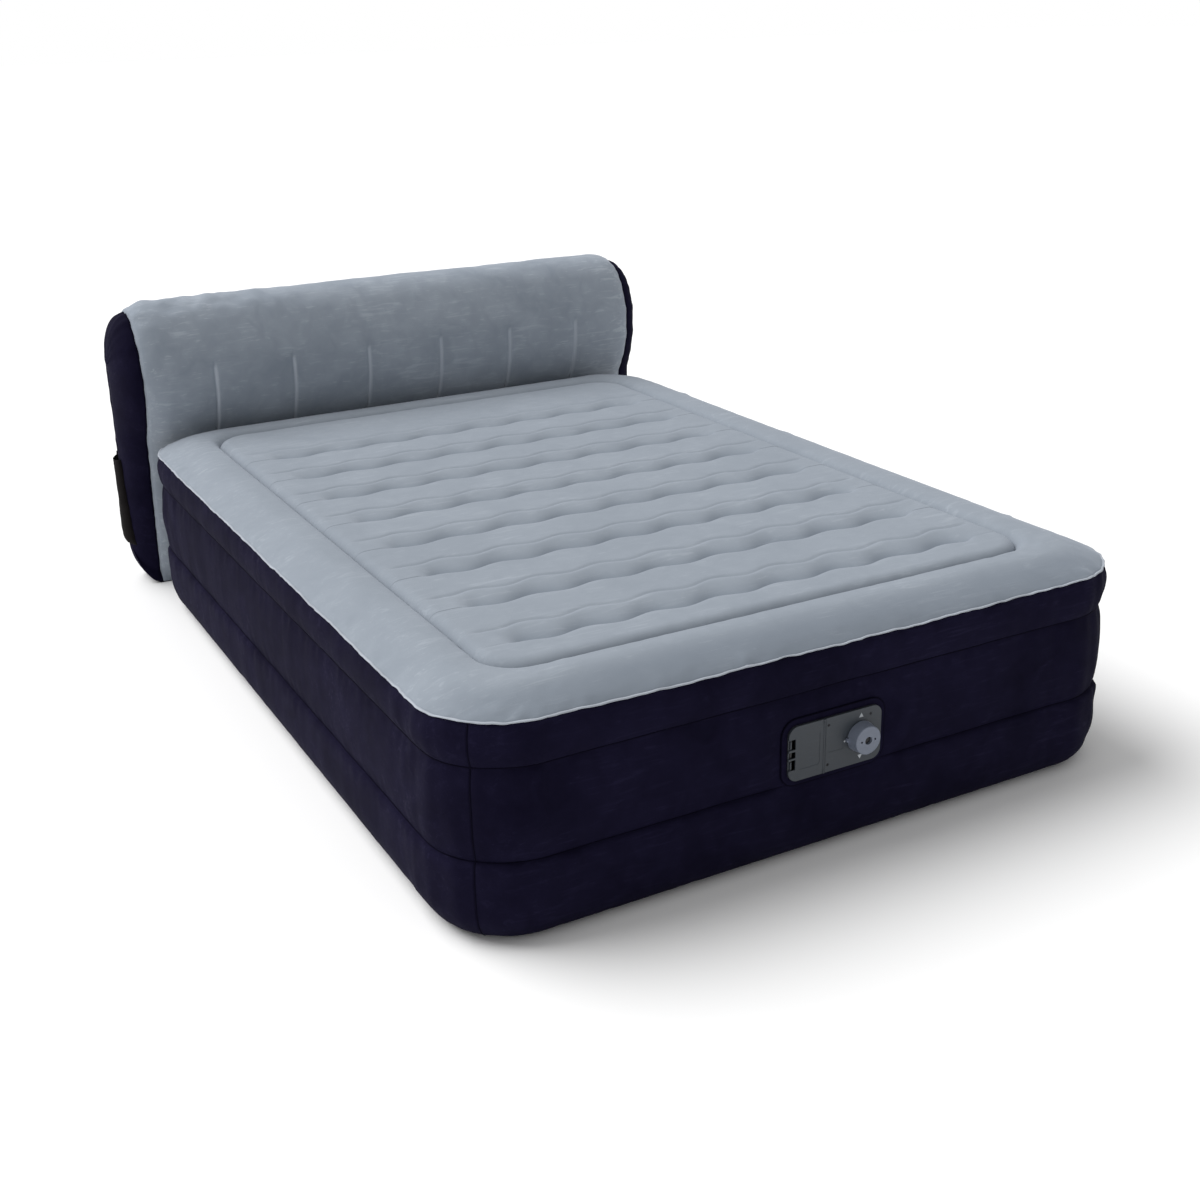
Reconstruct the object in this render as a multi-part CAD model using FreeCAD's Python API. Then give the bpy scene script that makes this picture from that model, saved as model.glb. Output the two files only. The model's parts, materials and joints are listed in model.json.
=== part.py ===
import FreeCAD, Part

import math
import os

from FreeCAD import Vector

# A raised double-size airbed with an inflated headboard and a built-in mains pump.
# The pump is in the foot end (-Y), the headboard stands at the head end (+Y), +Z is up.
# The origin is on the floor, at the centre of the whole object's footprint.
# All sizes are in millimetres.

# ---------------------------------------------------------------- mattress sizes
MATTRESS_WIDTH = 1520.0
MATTRESS_LENGTH = 2105.0
SEAM_HEIGHT = 430.0
RIM_RISE = 36.0
RIM_WIDTH = 146.0
RIM_EDGE_RADIUS = 33.0
PLAN_RADIUS = 160.0
UPPER_CREASE_HEIGHT = 346.0
LOWER_CREASE_HEIGHT = 166.0
CREASE_INSET = 6.0
UPPER_TIER_BULGE = 8.0
MIDDLE_TIER_BULGE = 4.0
LOWER_TIER_BULGE = 10.0
FLOOR_TUCK = 45.0
SKIN = 1.0
SEAM_LIP = 4.0
GROOVE_WIDTH = 14.0
GROOVE_DEPTH = 26.0
GROOVE_CORNER_RADIUS = 90.0
WEB_THICKNESS = 1.0
WEB_CLEARANCE = 2.0

# ---------------------------------------------------------------- wave beams
BEAM_PITCH = 201.0
FIRST_BEAM_FROM_FOOT = 248.0
LAST_BEAM_TO_HEAD = 280.0
BEAM_END_GAP = 85.0
HALF_WAVE_LENGTH = 70.0
HALF_WAVE_RISE = 6.0
BEAM_COUNT = 1 + int((MATTRESS_LENGTH - FIRST_BEAM_FROM_FOOT - LAST_BEAM_TO_HEAD) / BEAM_PITCH)
BEAM_HALF_WAVES = int((MATTRESS_WIDTH - 2 * (RIM_WIDTH + BEAM_END_GAP)) / HALF_WAVE_LENGTH)

# ---------------------------------------------------------------- headboard sizes
# The ties come in pairs, so that none stands in the way of the air port on the middle line.
HEADBOARD_OVERHANG = 5.0
HEADBOARD_HEIGHT = 800.0
HEADBOARD_DEPTH = 270.0
HEADBOARD_BASE_FRONT = 82.0
HEADBOARD_BASE_BACK = 205.0
HEADBOARD_WAIST = 18.0
HEADBOARD_LEAN = 40.0
BULGE_RISE = 170.0
SHOULDER_DROP = 62.0
SHOULDER_INSET = 42.0
BACK_WAIST_DROP = 60.0
BACK_WAIST_INSET = 26.0
BACK_LOW_HEIGHT = 120.0
BACK_LOW_INSET = 4.0
RIDGE_SETBACK = 108.0
PARTING_SETBACK = 200.0
END_BULGE = 28.0
END_FLAT_SHARE = 0.72
TIE_PITCH = 223.0
TIE_END_GAP = 150.0
TIE_LOW = 60.0
TIE_TOP_DROP = 160.0
TIE_CLEARANCE = 0.5
AIR_PORT_HEIGHT = 256.0
AIR_PORT_RADIUS = 16.0
AIR_PORT_WALL = 2.0
AIR_PORT_REACH = 40.0
HEADBOARD_WIDTH = MATTRESS_WIDTH + 2 * HEADBOARD_OVERHANG
HEADBOARD_WAIST_HEIGHT = SEAM_HEIGHT
HEADBOARD_BULGE_HEIGHT = HEADBOARD_WAIST_HEIGHT + BULGE_RISE
SHOULDER_HEIGHT = HEADBOARD_HEIGHT - SHOULDER_DROP
BACK_WAIST_HEIGHT = HEADBOARD_WAIST_HEIGHT - BACK_WAIST_DROP
TIE_HIGH = HEADBOARD_HEIGHT - TIE_TOP_DROP
TIE_COUNT = 2 * round((HEADBOARD_WIDTH / 2 - TIE_END_GAP) / TIE_PITCH)

# ---------------------------------------------------------------- side pockets
POCKET_DEPTH = 14.0
POCKET_WIDTH = 120.0
POCKET_LOW = 112.0
POCKET_HIGH = 368.0
POCKET_FRONT = 118.0
POCKET_WALL = 1.5
POCKET_HEM = 22.0
HEM_PROUD = 1.0

# ---------------------------------------------------------------- faceplate and its mounting
PUMP_X = 0.0
PUMP_HEIGHT = 230.0
PLATE_WIDTH = 212.0
PLATE_HEIGHT = 112.0
PLATE_RADIUS = 20.0
PLATE_THICKNESS = 4.0
PLATE_PROUD = 10.0
GASKET_THICKNESS = 2.0
FLANGE_THICKNESS = 3.0
FLANGE_MARGIN = 12.0
FLANGE_RADIUS = 32.0
FLANGE_SKIRT = 24.0
EMBOSS_DEPTH = 0.5
LABEL_HINGE_GAP = 8.0
LABEL_KNOB_GAP = 9.0
LABEL_HEIGHT = 32.0
LABEL_RADIUS = 3.0
RING_GAP = 1.5
RING_WIDTH = 2.0
RING_DEPTH = 0.4
VENT_COUNT = 6
VENT_RADIUS = 4.0
VENT_CIRCLE = 17.0

# ---------------------------------------------------------------- cord door
HINGE_X = -26.0
HINGE_SETBACK = 1.0
PIN_RADIUS = 1.25
PIN_END_GAP = 3.0
BARREL_RADIUS = 2.6
BARREL_GAP = 0.5
KNUCKLE_LENGTH = 7.0
KNUCKLE_FOOT = 1.0
DOOR_THICKNESS = 2.5
DOOR_GAP = 0.4
SLOT_DEPTH = 15.0
LATCH_SLOTS = [(-32.0, -11.0), (10.0, 31.0)]
CORD_SLOT = (-7.5, 5.5)
SLOT_FRAME = 2.0
LATCH_BAR_WIDTH = 3.0
LATCH_BAR_GAP = 3.5
CATCH_SETBACK = 0.6
PANEL_SLOT_GAP = 8.0
PANEL_HINGE_GAP = 10.0
PANEL_EDGE_GAP = 22.0
PANEL_RADIUS = 5.0

# ---------------------------------------------------------------- cord tray and gland
TRAY_DEPTH = 40.0
TRAY_WALL = 1.5
TRAY_HINGE_GAP = 2.0
GLAND_RADIUS = 6.0
GLAND_BORE = 3.6
GLAND_LIP = 2.0
GLAND_SIDE_MARGIN = 26.0
GLAND_Z = -22.0
TRAY_RIGHT = HINGE_X - TRAY_HINGE_GAP
GLAND_X = GLAND_SIDE_MARGIN - PLATE_WIDTH / 2

# ---------------------------------------------------------------- faceplate screws
SCREW_HINGE_GAP = 9.0
SCREW_SIDE_MARGIN = 26.0
SCREW_TOP_MARGIN = 15.0
SCREW_RADIUS = 1.5
SCREW_HEAD_RADIUS = 2.8
SCREW_LENGTH = 16.0
HEAD_CLEARANCE = 0.2
CROSS_LENGTH = 4.0
CROSS_WIDTH = 0.7
CROSS_DEPTH = 0.9
BOSS_RADIUS = 3.5
BOSS_MARGIN = 4.0
BOSS_WEB = 2.0
SCREW_COLUMNS = (HINGE_X + SCREW_HINGE_GAP, PLATE_WIDTH / 2 - SCREW_SIDE_MARGIN)
SCREW_ROWS = (SCREW_TOP_MARGIN - PLATE_HEIGHT / 2, PLATE_HEIGHT / 2 - SCREW_TOP_MARGIN)

# ---------------------------------------------------------------- knob and spindle
KNOB_SIDE_MARGIN = 48.0
KNOB_RADIUS = 31.0
KNOB_FACE_RADIUS = 28.5
KNOB_HEIGHT = 24.0
KNOB_LIFT = 0.8
KNOB_WALL = 2.5
KNOB_EDGE_RADIUS = 2.0
KNOB_PORT_RADIUS = 8.0
KNOB_PORT_DEPTH = 8.0
KNOB_HOLE_RADIUS = 2.2
KNOB_HOLE_DEPTH = 4.0
KNOB_HOLE_SPREAD = 15.5
HUB_WALL = 6.0
HUB_SETBACK = 2.0
RIB_COUNT = 6
RIB_THICKNESS = 1.6
RIB_SETBACK = 1.0
POINTER_RADIUS = 4.0
POINTER_REACH = 1.5
POINTER_LENGTH = 5.0
CAP_GAP = 0.6
CAP_THICKNESS = 3.0
SPINDLE_RADIUS = 5.0
RUNNING_FIT = 0.06
COLLAR_RISE = 2.0
COLLAR_LENGTH = 3.0
KNOB_X = PLATE_WIDTH / 2 - KNOB_SIDE_MARGIN

# ---------------------------------------------------------------- blower
BLOWER_SIDE_GAP = 14.0
SCROLL_TRAY_GAP = 9.0
SCROLL_RADIUS = 40.0
SCROLL_DEPTH = 26.0
SCROLL_WALL = 1.5
DUCT_HEIGHT = 24.0
DUCT_END_GAP = 1.0
DUCT_TRIM = 5.0
INLET_RADIUS = 15.0
IMPELLER_RADIUS = 33.0
IMPELLER_GAP = 3.5
IMPELLER_DISC = 1.5
IMPELLER_HUB_RADIUS = 6.0
BLADE_COUNT = 12
BLADE_THICKNESS = 1.4
BLADE_OVERLAP = 1.0
BLADE_TIP_GAP = 0.5
SHAFT_RADIUS = 1.6
SHAFT_OVERHANG = 1.0
MOTOR_GAP = 1.0
MOTOR_RADIUS = 19.0
MOTOR_LENGTH = 34.0
MOTOR_BACK_GAP = 12.0
MOTOR_WALL = 1.5
MOTOR_END_WALL = 2.0
BUSH_RADIUS = 4.0
BUSH_LENGTH = 4.0
BUSH_HOLE_GAP = 1.0
ROTOR_RADIAL_GAP = 6.0
ROTOR_END_GAP = 8.0
SCROLL_START = PLATE_THICKNESS + TRAY_DEPTH + SCROLL_TRAY_GAP
SCROLL_END = SCROLL_START + SCROLL_DEPTH
MOTOR_START = SCROLL_END + MOTOR_GAP

# ---------------------------------------------------------------- pump housing
TUB_SIDE_MARGIN = 5.0
TUB_TOP_MARGIN = 6.0
TUB_RADIUS = 14.0
TUB_WALL = 2.0
TUB_WIDTH = PLATE_WIDTH - 2 * TUB_SIDE_MARGIN
TUB_HEIGHT = PLATE_HEIGHT - 2 * TUB_TOP_MARGIN
TUB_DEPTH = MOTOR_START + MOTOR_LENGTH + MOTOR_BACK_GAP + TUB_WALL - PLATE_THICKNESS
BLOWER_X = TUB_WALL + BLOWER_SIDE_GAP + SCROLL_RADIUS - TUB_WIDTH / 2

# ---------------------------------------------------------------- diverter
DRUM_RADIUS = 22.0
DRUM_LEAD = 3.0
DRUM_TAIL = 5.0
DRUM_WALL = 2.0
DRUM_GAP = 0.5
DRUM_PORT_MARGIN = 6.0
SLEEVE_WALL = 2.0
SLEEVE_OVERLAP = 2.0
SLEEVE_PORT_MARGIN = 4.0
PORT_HEIGHT = 18.0
DRUM_START = SCROLL_START - DRUM_LEAD
DRUM_END = SCROLL_END + DRUM_TAIL

# ---------------------------------------------------------------- check valve
VALVE_HOLE_RADIUS = 15.0
SEAT_RADIUS = 21.0
SEAT_THICKNESS = 2.0
DISC_RADIUS = 19.0
DISC_THICKNESS = 2.5
STEM_RADIUS = 2.0
STEM_OVERHANG = 1.0
CAGE_DEPTH = 15.0
CAGE_WALL = 3.0
CAGE_END_WALL = 2.0
CAGE_WINDOW = 28.0
SPRING_RADIUS = 6.0
SPRING_WIRE = 0.6
SPRING_COILS = 5

# ---------------------------------------------------------------- switch and cam
CAM_RADIUS = 10.0
CAM_START = 30.0
CAM_END = 38.0
CAM_FLAT = 8.6
CAM_GAP = 0.4
SWITCH_OFFSET = 16.0
SWITCH_LENGTH = 18.0
SWITCH_DEPTH = 10.0
SWITCH_HEIGHT = 8.0
BUTTON_SIDE = 2.4
BUTTON_REACH = 5.0
BUTTON_END_GAP = 2.0
SWITCH_X = KNOB_X + SWITCH_OFFSET
SWITCH_MIDDLE = (CAM_START + CAM_END) / 2

# ---------------------------------------------------------------- general values
OVERCUT = 1.0
NEARLY_ALONG = 0.99
TOUCHING = 0.01
FULL_TURN = 360.0
RIGHT_ANGLE = 90.0
EIGHTH_TURN = 45.0
UP = Vector(0, 0, 1)
INTO = Vector(0, 1, 0)
OUT = Vector(0, -1, 0)

PUMP_REACH = PLATE_PROUD + KNOB_LIFT + KNOB_HEIGHT
OVERALL_LENGTH = PUMP_REACH + MATTRESS_LENGTH + HEADBOARD_DEPTH
FOOT_Y = PUMP_REACH - OVERALL_LENGTH / 2
MIDDLE_Y = FOOT_Y + MATTRESS_LENGTH / 2
HEAD_Y = FOOT_Y + MATTRESS_LENGTH


# ---------------------------------------------------------------- general helpers
def block(x0, x1, y0, y1, z0, z1):
    """A box between two corners."""
    return Part.makeBox(x1 - x0, y1 - y0, z1 - z0, Vector(x0, y0, z0))


def rod(x, z, radius, y0, y1):
    """A cylinder that runs along Y."""
    return Part.makeCylinder(radius, y1 - y0, Vector(x, y0, z), INTO)


def rounded_slab(x0, x1, y0, y1, z0, z1, radius):
    """A box with its four edges along Y rounded."""
    slab = block(x0, x1, y0, y1, z0, z1)
    edges = [e for e in slab.Edges if abs(e.tangentAt(e.FirstParameter).y) > NEARLY_ALONG]
    return slab.makeFillet(radius, edges)


def centred_slab(width, height, radius, y0, y1):
    """A rounded slab centred on X and Z, which runs along Y."""
    return rounded_slab(-width / 2, width / 2, y0, y1, -height / 2, height / 2, radius)


def upright_slab(inset, radius, z0, z1):
    """A flat-topped block of the mattress outline, moved inwards by an inset."""
    half_width = MATTRESS_WIDTH / 2 - inset
    half_length = MATTRESS_LENGTH / 2 - inset
    slab = block(-half_width, half_width, MIDDLE_Y - half_length, MIDDLE_Y + half_length, z0, z1)
    edges = [e for e in slab.Edges if abs(e.tangentAt(e.FirstParameter).z) > NEARLY_ALONG]
    return slab.makeFillet(radius, edges)


def arc(start, middle, end):
    """An arc through three points given as (across, up) in the XZ plane."""
    points = [Vector(across, 0, height) for across, height in (start, middle, end)]
    return Part.Arc(*points).toShape()


def line(start, end):
    """A straight edge in the XZ plane."""
    return Part.makeLine(Vector(start[0], 0, start[1]), Vector(end[0], 0, end[1]))


def fuse_all(shapes):
    """One solid from touching shapes."""
    return shapes[0].multiFuse(shapes[1:]).removeSplitter()


def at_pump(shape):
    """Moves a shape from the pump's own frame, behind its front face, to its place."""
    placed = shape.copy()
    placed.translate(Vector(PUMP_X, FOOT_Y - PLATE_PROUD, PUMP_HEIGHT))
    return placed


def save(name, shape):
    """Writes one node."""
    solids = shape.Solids
    result = solids[0] if len(solids) == 1 else Part.makeCompound(solids)
    result.exportStep("parts/" + name + ".step")


# ---------------------------------------------------------------- mattress
def wall_section():
    """The side wall's thin section: two creases, three bulging tiers and the tuck at the floor."""
    crease = PLAN_RADIUS - CREASE_INSET
    tuck_centre = PLAN_RADIUS - FLOOR_TUCK
    tuck_radius = FLOOR_TUCK + LOWER_TIER_BULGE
    tuck_diagonal = tuck_radius * math.cos(math.radians(EIGHTH_TURN))
    widest = PLAN_RADIUS + LOWER_TIER_BULGE
    upper_middle = (PLAN_RADIUS + UPPER_TIER_BULGE, (SEAM_HEIGHT + UPPER_CREASE_HEIGHT) / 2)
    middle_middle = (PLAN_RADIUS + MIDDLE_TIER_BULGE, (UPPER_CREASE_HEIGHT + LOWER_CREASE_HEIGHT) / 2)
    rise = LOWER_CREASE_HEIGHT - tuck_radius
    lower_radius = ((widest - crease) ** 2 + rise ** 2) / (2 * (widest - crease))
    half_angle = math.asin(rise / lower_radius) / 2
    lower_middle = (widest - lower_radius * (1 - math.cos(half_angle)),
                    tuck_radius + lower_radius * math.sin(half_angle))
    tuck_middle = (tuck_centre + tuck_diagonal, tuck_radius - tuck_diagonal)
    outline = Part.Wire([
        arc((PLAN_RADIUS, SEAM_HEIGHT), upper_middle, (crease, UPPER_CREASE_HEIGHT)),
        arc((crease, UPPER_CREASE_HEIGHT), middle_middle, (crease, LOWER_CREASE_HEIGHT)),
        arc((crease, LOWER_CREASE_HEIGHT), lower_middle, (widest, tuck_radius)),
        arc((widest, tuck_radius), tuck_middle, (tuck_centre, 0)),
    ])
    return outline.makeOffset2D(-SKIN, 0, True, True, False)


def wall_panel(section, turn, reach, run):
    """One wall: a straight stretch and half of the corner at each end."""
    across = reach / 2 - PLAN_RADIUS
    half_run = run / 2 - PLAN_RADIUS
    start = section.copy()
    start.translate(Vector(across, -half_run, 0))
    straight = start.extrude(Vector(0, 2 * half_run, 0))
    near = start.copy()
    near.rotate(Vector(across, -half_run, 0), UP, -EIGHTH_TURN)
    near_corner = near.revolve(Vector(across, -half_run, 0), UP, EIGHTH_TURN)
    far = section.copy()
    far.translate(Vector(across, half_run, 0))
    far_corner = far.revolve(Vector(across, half_run, 0), UP, EIGHTH_TURN)
    panel = fuse_all([straight, near_corner, far_corner])
    panel.rotate(Vector(0, 0, 0), UP, turn)
    panel.translate(Vector(0, MIDDLE_Y, 0))
    return panel


def make_walls():
    """The four side walls, with the pump's cut-out in the foot wall."""
    section = wall_section()
    save("right_wall", wall_panel(section, 0, MATTRESS_WIDTH, MATTRESS_LENGTH))
    head = wall_panel(section, RIGHT_ANGLE, MATTRESS_LENGTH, MATTRESS_WIDTH)
    save("head_wall", head.cut(air_port(AIR_PORT_RADIUS)))
    save("left_wall", wall_panel(section, 2 * RIGHT_ANGLE, MATTRESS_WIDTH, MATTRESS_LENGTH))
    foot = wall_panel(section, 3 * RIGHT_ANGLE, MATTRESS_LENGTH, MATTRESS_WIDTH)
    save("foot_wall", foot.cut(at_pump(flange_outline(-FLANGE_SKIRT, 2 * FLANGE_SKIRT))))


def make_top_sheet():
    """The flocked top: an inflated rim, the groove round it and the flat quilted field."""
    top = SEAM_HEIGHT + RIM_RISE
    outer = upright_slab(0, PLAN_RADIUS, SEAM_HEIGHT, top)
    inner = upright_slab(SKIN, PLAN_RADIUS - SKIN, SEAM_HEIGHT - SKIN, top - SKIN)
    outer = outer.makeFillet(RIM_EDGE_RADIUS, rim_edges(outer, top))
    inner = inner.makeFillet(RIM_EDGE_RADIUS - SKIN, rim_edges(inner, top - SKIN))
    sheet = outer.cut(groove_ring(0, top + SKIN)).cut(inner.cut(groove_ring(SKIN, top)))
    lip = upright_slab(-SEAM_LIP, PLAN_RADIUS + SEAM_LIP, SEAM_HEIGHT, SEAM_HEIGHT + SKIN)
    hollow = upright_slab(SKIN, PLAN_RADIUS - SKIN, SEAM_HEIGHT - SKIN, SEAM_HEIGHT + 2 * SKIN)
    save("top_sheet", sheet.fuse(lip.cut(hollow)).removeSplitter())


def rim_edges(slab, height):
    """The edges round a slab's top face."""
    level = [e for e in slab.Edges if e.BoundBox.ZLength < TOUCHING]
    return [e for e in level if abs(e.BoundBox.ZMin - height) < TOUCHING]


def groove_ring(wall, top):
    """The groove's cutter, made wider and deeper by a wall."""
    low = SEAM_HEIGHT + RIM_RISE - GROOVE_DEPTH - wall
    half = GROOVE_WIDTH / 2 + wall
    outer = upright_slab(RIM_WIDTH - half, GROOVE_CORNER_RADIUS + half, low, top)
    island = upright_slab(RIM_WIDTH + half, GROOVE_CORNER_RADIUS - half, low - OVERCUT, top + OVERCUT)
    return outer.cut(island)


def make_bottom_sheet():
    """The flat floor sheet."""
    save("bottom_sheet", upright_slab(FLOOR_TUCK, PLAN_RADIUS - FLOOR_TUCK, 0, SKIN))


def make_rim_beam():
    """The upright strip that ties the groove to the floor sheet."""
    groove_floor = SEAM_HEIGHT + RIM_RISE - GROOVE_DEPTH - SKIN
    outer = upright_slab(RIM_WIDTH, GROOVE_CORNER_RADIUS, SKIN, groove_floor)
    inset = RIM_WIDTH + WEB_THICKNESS
    inner = upright_slab(inset, GROOVE_CORNER_RADIUS - WEB_THICKNESS, 0, groove_floor + OVERCUT)
    save("rim_beam", outer.cut(inner))


def make_girdle(name, height):
    """A flat ring that holds one crease in from the rim beam."""
    inset = CREASE_INSET + SKIN + WEB_CLEARANCE
    outer = upright_slab(inset, PLAN_RADIUS - inset, height, height + WEB_THICKNESS)
    hole = upright_slab(RIM_WIDTH, GROOVE_CORNER_RADIUS, height - OVERCUT, height + WEB_THICKNESS + OVERCUT)
    notch = flange_outline(-RIM_WIDTH, 2 * RIM_WIDTH, WEB_CLEARANCE)
    save(name, outer.cut(hole).cut(at_pump(notch)))


def wave_beam(beam_y):
    """One wavy upright strip from the floor sheet to the top sheet."""
    radius = (HALF_WAVE_LENGTH ** 2 / 4 + HALF_WAVE_RISE ** 2) / (2 * HALF_WAVE_RISE)
    start_x = -BEAM_HALF_WAVES * HALF_WAVE_LENGTH / 2
    height = SEAM_HEIGHT + RIM_RISE - 2 * SKIN
    pieces = []
    for half_wave in range(BEAM_HALF_WAVES):
        side = 1 if half_wave % 2 == 0 else -1
        x = start_x + (half_wave + 0.5) * HALF_WAVE_LENGTH
        centre = Vector(x, beam_y - side * (radius - HALF_WAVE_RISE), SKIN)
        outer = Part.makeCylinder(radius + WEB_THICKNESS / 2, height, centre)
        inner = Part.makeCylinder(radius - WEB_THICKNESS / 2, height, centre)
        reach = radius + HALF_WAVE_RISE
        low = beam_y - WEB_THICKNESS if side > 0 else beam_y - reach
        high = beam_y + reach if side > 0 else beam_y + WEB_THICKNESS
        window = block(x - HALF_WAVE_LENGTH / 2, x + HALF_WAVE_LENGTH / 2, low, high, 0, 2 * height)
        pieces.append(outer.cut(inner).common(window))
    return fuse_all(pieces)


def make_wave_beams():
    """The rows of wave beams under the quilted field."""
    beams = [wave_beam(FOOT_Y + FIRST_BEAM_FROM_FOOT + row * BEAM_PITCH) for row in range(BEAM_COUNT)]
    save("wave_beams", Part.makeCompound(beams))


# ---------------------------------------------------------------- headboard
def side_hump(peak, foot):
    """The arc from a hump's outermost point, where it runs straight up, to a point above or below."""
    across = foot[0] - peak[0]
    rise = foot[1] - peak[1]
    radius = (across ** 2 + rise ** 2) / (2 * abs(across))
    inward = math.copysign(1.0, across)
    half_angle = math.asin(rise / radius) / 2
    middle = (peak[0] + inward * radius * (1 - math.cos(half_angle)), peak[1] + radius * math.sin(half_angle))
    return arc(peak, middle, foot)


def ridge_hump(peak, foot):
    """The arc from a ridge's highest point, where it runs level, to a point beside it."""
    across = foot[0] - peak[0]
    drop = peak[1] - foot[1]
    radius = (across ** 2 + drop ** 2) / (2 * drop)
    half_angle = math.asin(across / radius) / 2
    middle = (peak[0] + radius * math.sin(half_angle), peak[1] - radius * (1 - math.cos(half_angle)))
    return arc(peak, middle, foot)


def headboard_outline():
    """The headboard's side outline as a closed wire, across (from the mattress end) and up."""
    base_front = (HEADBOARD_BASE_FRONT, 0.0)
    base_back = (HEADBOARD_BASE_BACK, 0.0)
    waist = (HEADBOARD_WAIST, HEADBOARD_WAIST_HEIGHT)
    front = (-HEADBOARD_LEAN, HEADBOARD_BULGE_HEIGHT)
    front_shoulder = (SHOULDER_INSET - HEADBOARD_LEAN, SHOULDER_HEIGHT)
    ridge = (RIDGE_SETBACK, HEADBOARD_HEIGHT)
    back_shoulder = (HEADBOARD_DEPTH - SHOULDER_INSET, SHOULDER_HEIGHT)
    back = (HEADBOARD_DEPTH, HEADBOARD_BULGE_HEIGHT)
    back_waist = (HEADBOARD_DEPTH - BACK_WAIST_INSET, BACK_WAIST_HEIGHT)
    back_low = (HEADBOARD_DEPTH - BACK_LOW_INSET, BACK_LOW_HEIGHT)
    return Part.Wire([
        line(base_front, waist),
        side_hump(front, waist),
        side_hump(front, front_shoulder),
        ridge_hump(ridge, front_shoulder),
        ridge_hump(ridge, back_shoulder),
        side_hump(back, back_shoulder),
        side_hump(back, back_waist),
        line(back_waist, back_low),
        side_hump(back_low, base_back),
        line(base_back, base_front),
    ])


def to_headboard(shape, x):
    """Turns a shape drawn in the XZ plane to face +X and sets it at the headboard."""
    placed = shape.copy()
    placed.rotate(Vector(0, 0, 0), UP, RIGHT_ANGLE)
    placed.translate(Vector(x, HEAD_Y, 0))
    return placed


def headboard_shell():
    """The open-ended tube of the headboard's front and back skins."""
    outer = Part.Face(headboard_outline())
    inner = outer.makeOffset2D(-SKIN)
    section = to_headboard(outer.cut(inner), -HEADBOARD_WIDTH / 2)
    return section.extrude(Vector(HEADBOARD_WIDTH, 0, 0))


def front_region():
    """The space ahead of the line that parts the front skin from the back skin."""
    top = HEADBOARD_HEIGHT + OVERCUT
    ahead = -2 * HEADBOARD_LEAN
    corners = [(ahead, -OVERCUT), (HEADBOARD_BASE_FRONT + SKIN, -OVERCUT),
               (HEADBOARD_DEPTH / 2, HEADBOARD_WAIST_HEIGHT), (PARTING_SETBACK, top), (ahead, top)]
    points = [Vector(across, 0, height) for across, height in corners]
    face = Part.Face(Part.makePolygon(points + points[:1]))
    return to_headboard(face, -HEADBOARD_WIDTH).extrude(Vector(2 * HEADBOARD_WIDTH, 0, 0))


def headboard_end(side):
    """One end skin: a shallow pan that bulges outwards."""
    outline = headboard_outline()
    centre = Vector(HEADBOARD_DEPTH / 2, 0, HEADBOARD_HEIGHT / 2)

    def scaled(factor):
        wire = outline.copy()
        wire.scale(factor, centre)
        return wire

    rim_x = HEADBOARD_WIDTH / 2
    thin = 1 - SKIN / (HEADBOARD_DEPTH / 2)
    outer = Part.makeLoft([to_headboard(scaled(1.0), rim_x),
                           to_headboard(scaled(END_FLAT_SHARE), rim_x + END_BULGE)], True, True)
    inner = Part.makeLoft([to_headboard(scaled(thin), rim_x),
                           to_headboard(scaled(END_FLAT_SHARE * thin), rim_x + END_BULGE - SKIN)], True, True)
    pan = outer.cut(inner)
    return pan if side > 0 else pan.mirror(Vector(0, 0, 0), Vector(1, 0, 0))


def make_headboard():
    """The headboard's skins, its inner ties, the join strip and the air port to the mattress."""
    shell = headboard_shell()
    region = front_region()
    save("headboard_front_panel", shell.common(region).cut(air_port(AIR_PORT_RADIUS)))
    save("headboard_back_panel", shell.cut(region))
    save("headboard_end_left", headboard_end(-1))
    save("headboard_end_right", headboard_end(1))
    inside = Part.Face(headboard_outline()).makeOffset2D(-SKIN - TIE_CLEARANCE)
    ties = []
    for index in range(TIE_COUNT):
        x = (index - (TIE_COUNT - 1) / 2) * TIE_PITCH - WEB_THICKNESS / 2
        tie = to_headboard(inside, x).extrude(Vector(WEB_THICKNESS, 0, 0))
        window = block(x - OVERCUT, x + WEB_THICKNESS + OVERCUT, 0, OVERALL_LENGTH, TIE_LOW, TIE_HIGH)
        ties.append(tie.common(window))
    save("headboard_ties", Part.makeCompound(ties))


def make_join_strip():
    """The flap on the floor that joins the mattress's head wall to the headboard's base."""
    tuck_radius = FLOOR_TUCK + LOWER_TIER_BULGE
    wall_reach = math.sqrt(tuck_radius ** 2 - (tuck_radius - SKIN) ** 2)
    front_slope = (HEADBOARD_BASE_FRONT - HEADBOARD_WAIST) / HEADBOARD_WAIST_HEIGHT
    start = HEAD_Y - FLOOR_TUCK + wall_reach
    end = HEAD_Y + HEADBOARD_BASE_FRONT - SKIN * front_slope
    half = MATTRESS_WIDTH / 2 - PLAN_RADIUS
    save("join_strip", block(-half, half, start, end, 0, SKIN))


def air_port(radius):
    """A rod along the air port from the mattress into the headboard."""
    return rod(0, AIR_PORT_HEIGHT, radius, HEAD_Y - AIR_PORT_REACH, HEAD_Y + HEADBOARD_BASE_FRONT)


def make_air_port():
    """The short tube that lets air pass from the mattress into the headboard."""
    save("air_transfer_tube", air_port(AIR_PORT_RADIUS).cut(air_port(AIR_PORT_RADIUS - AIR_PORT_WALL)))


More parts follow.
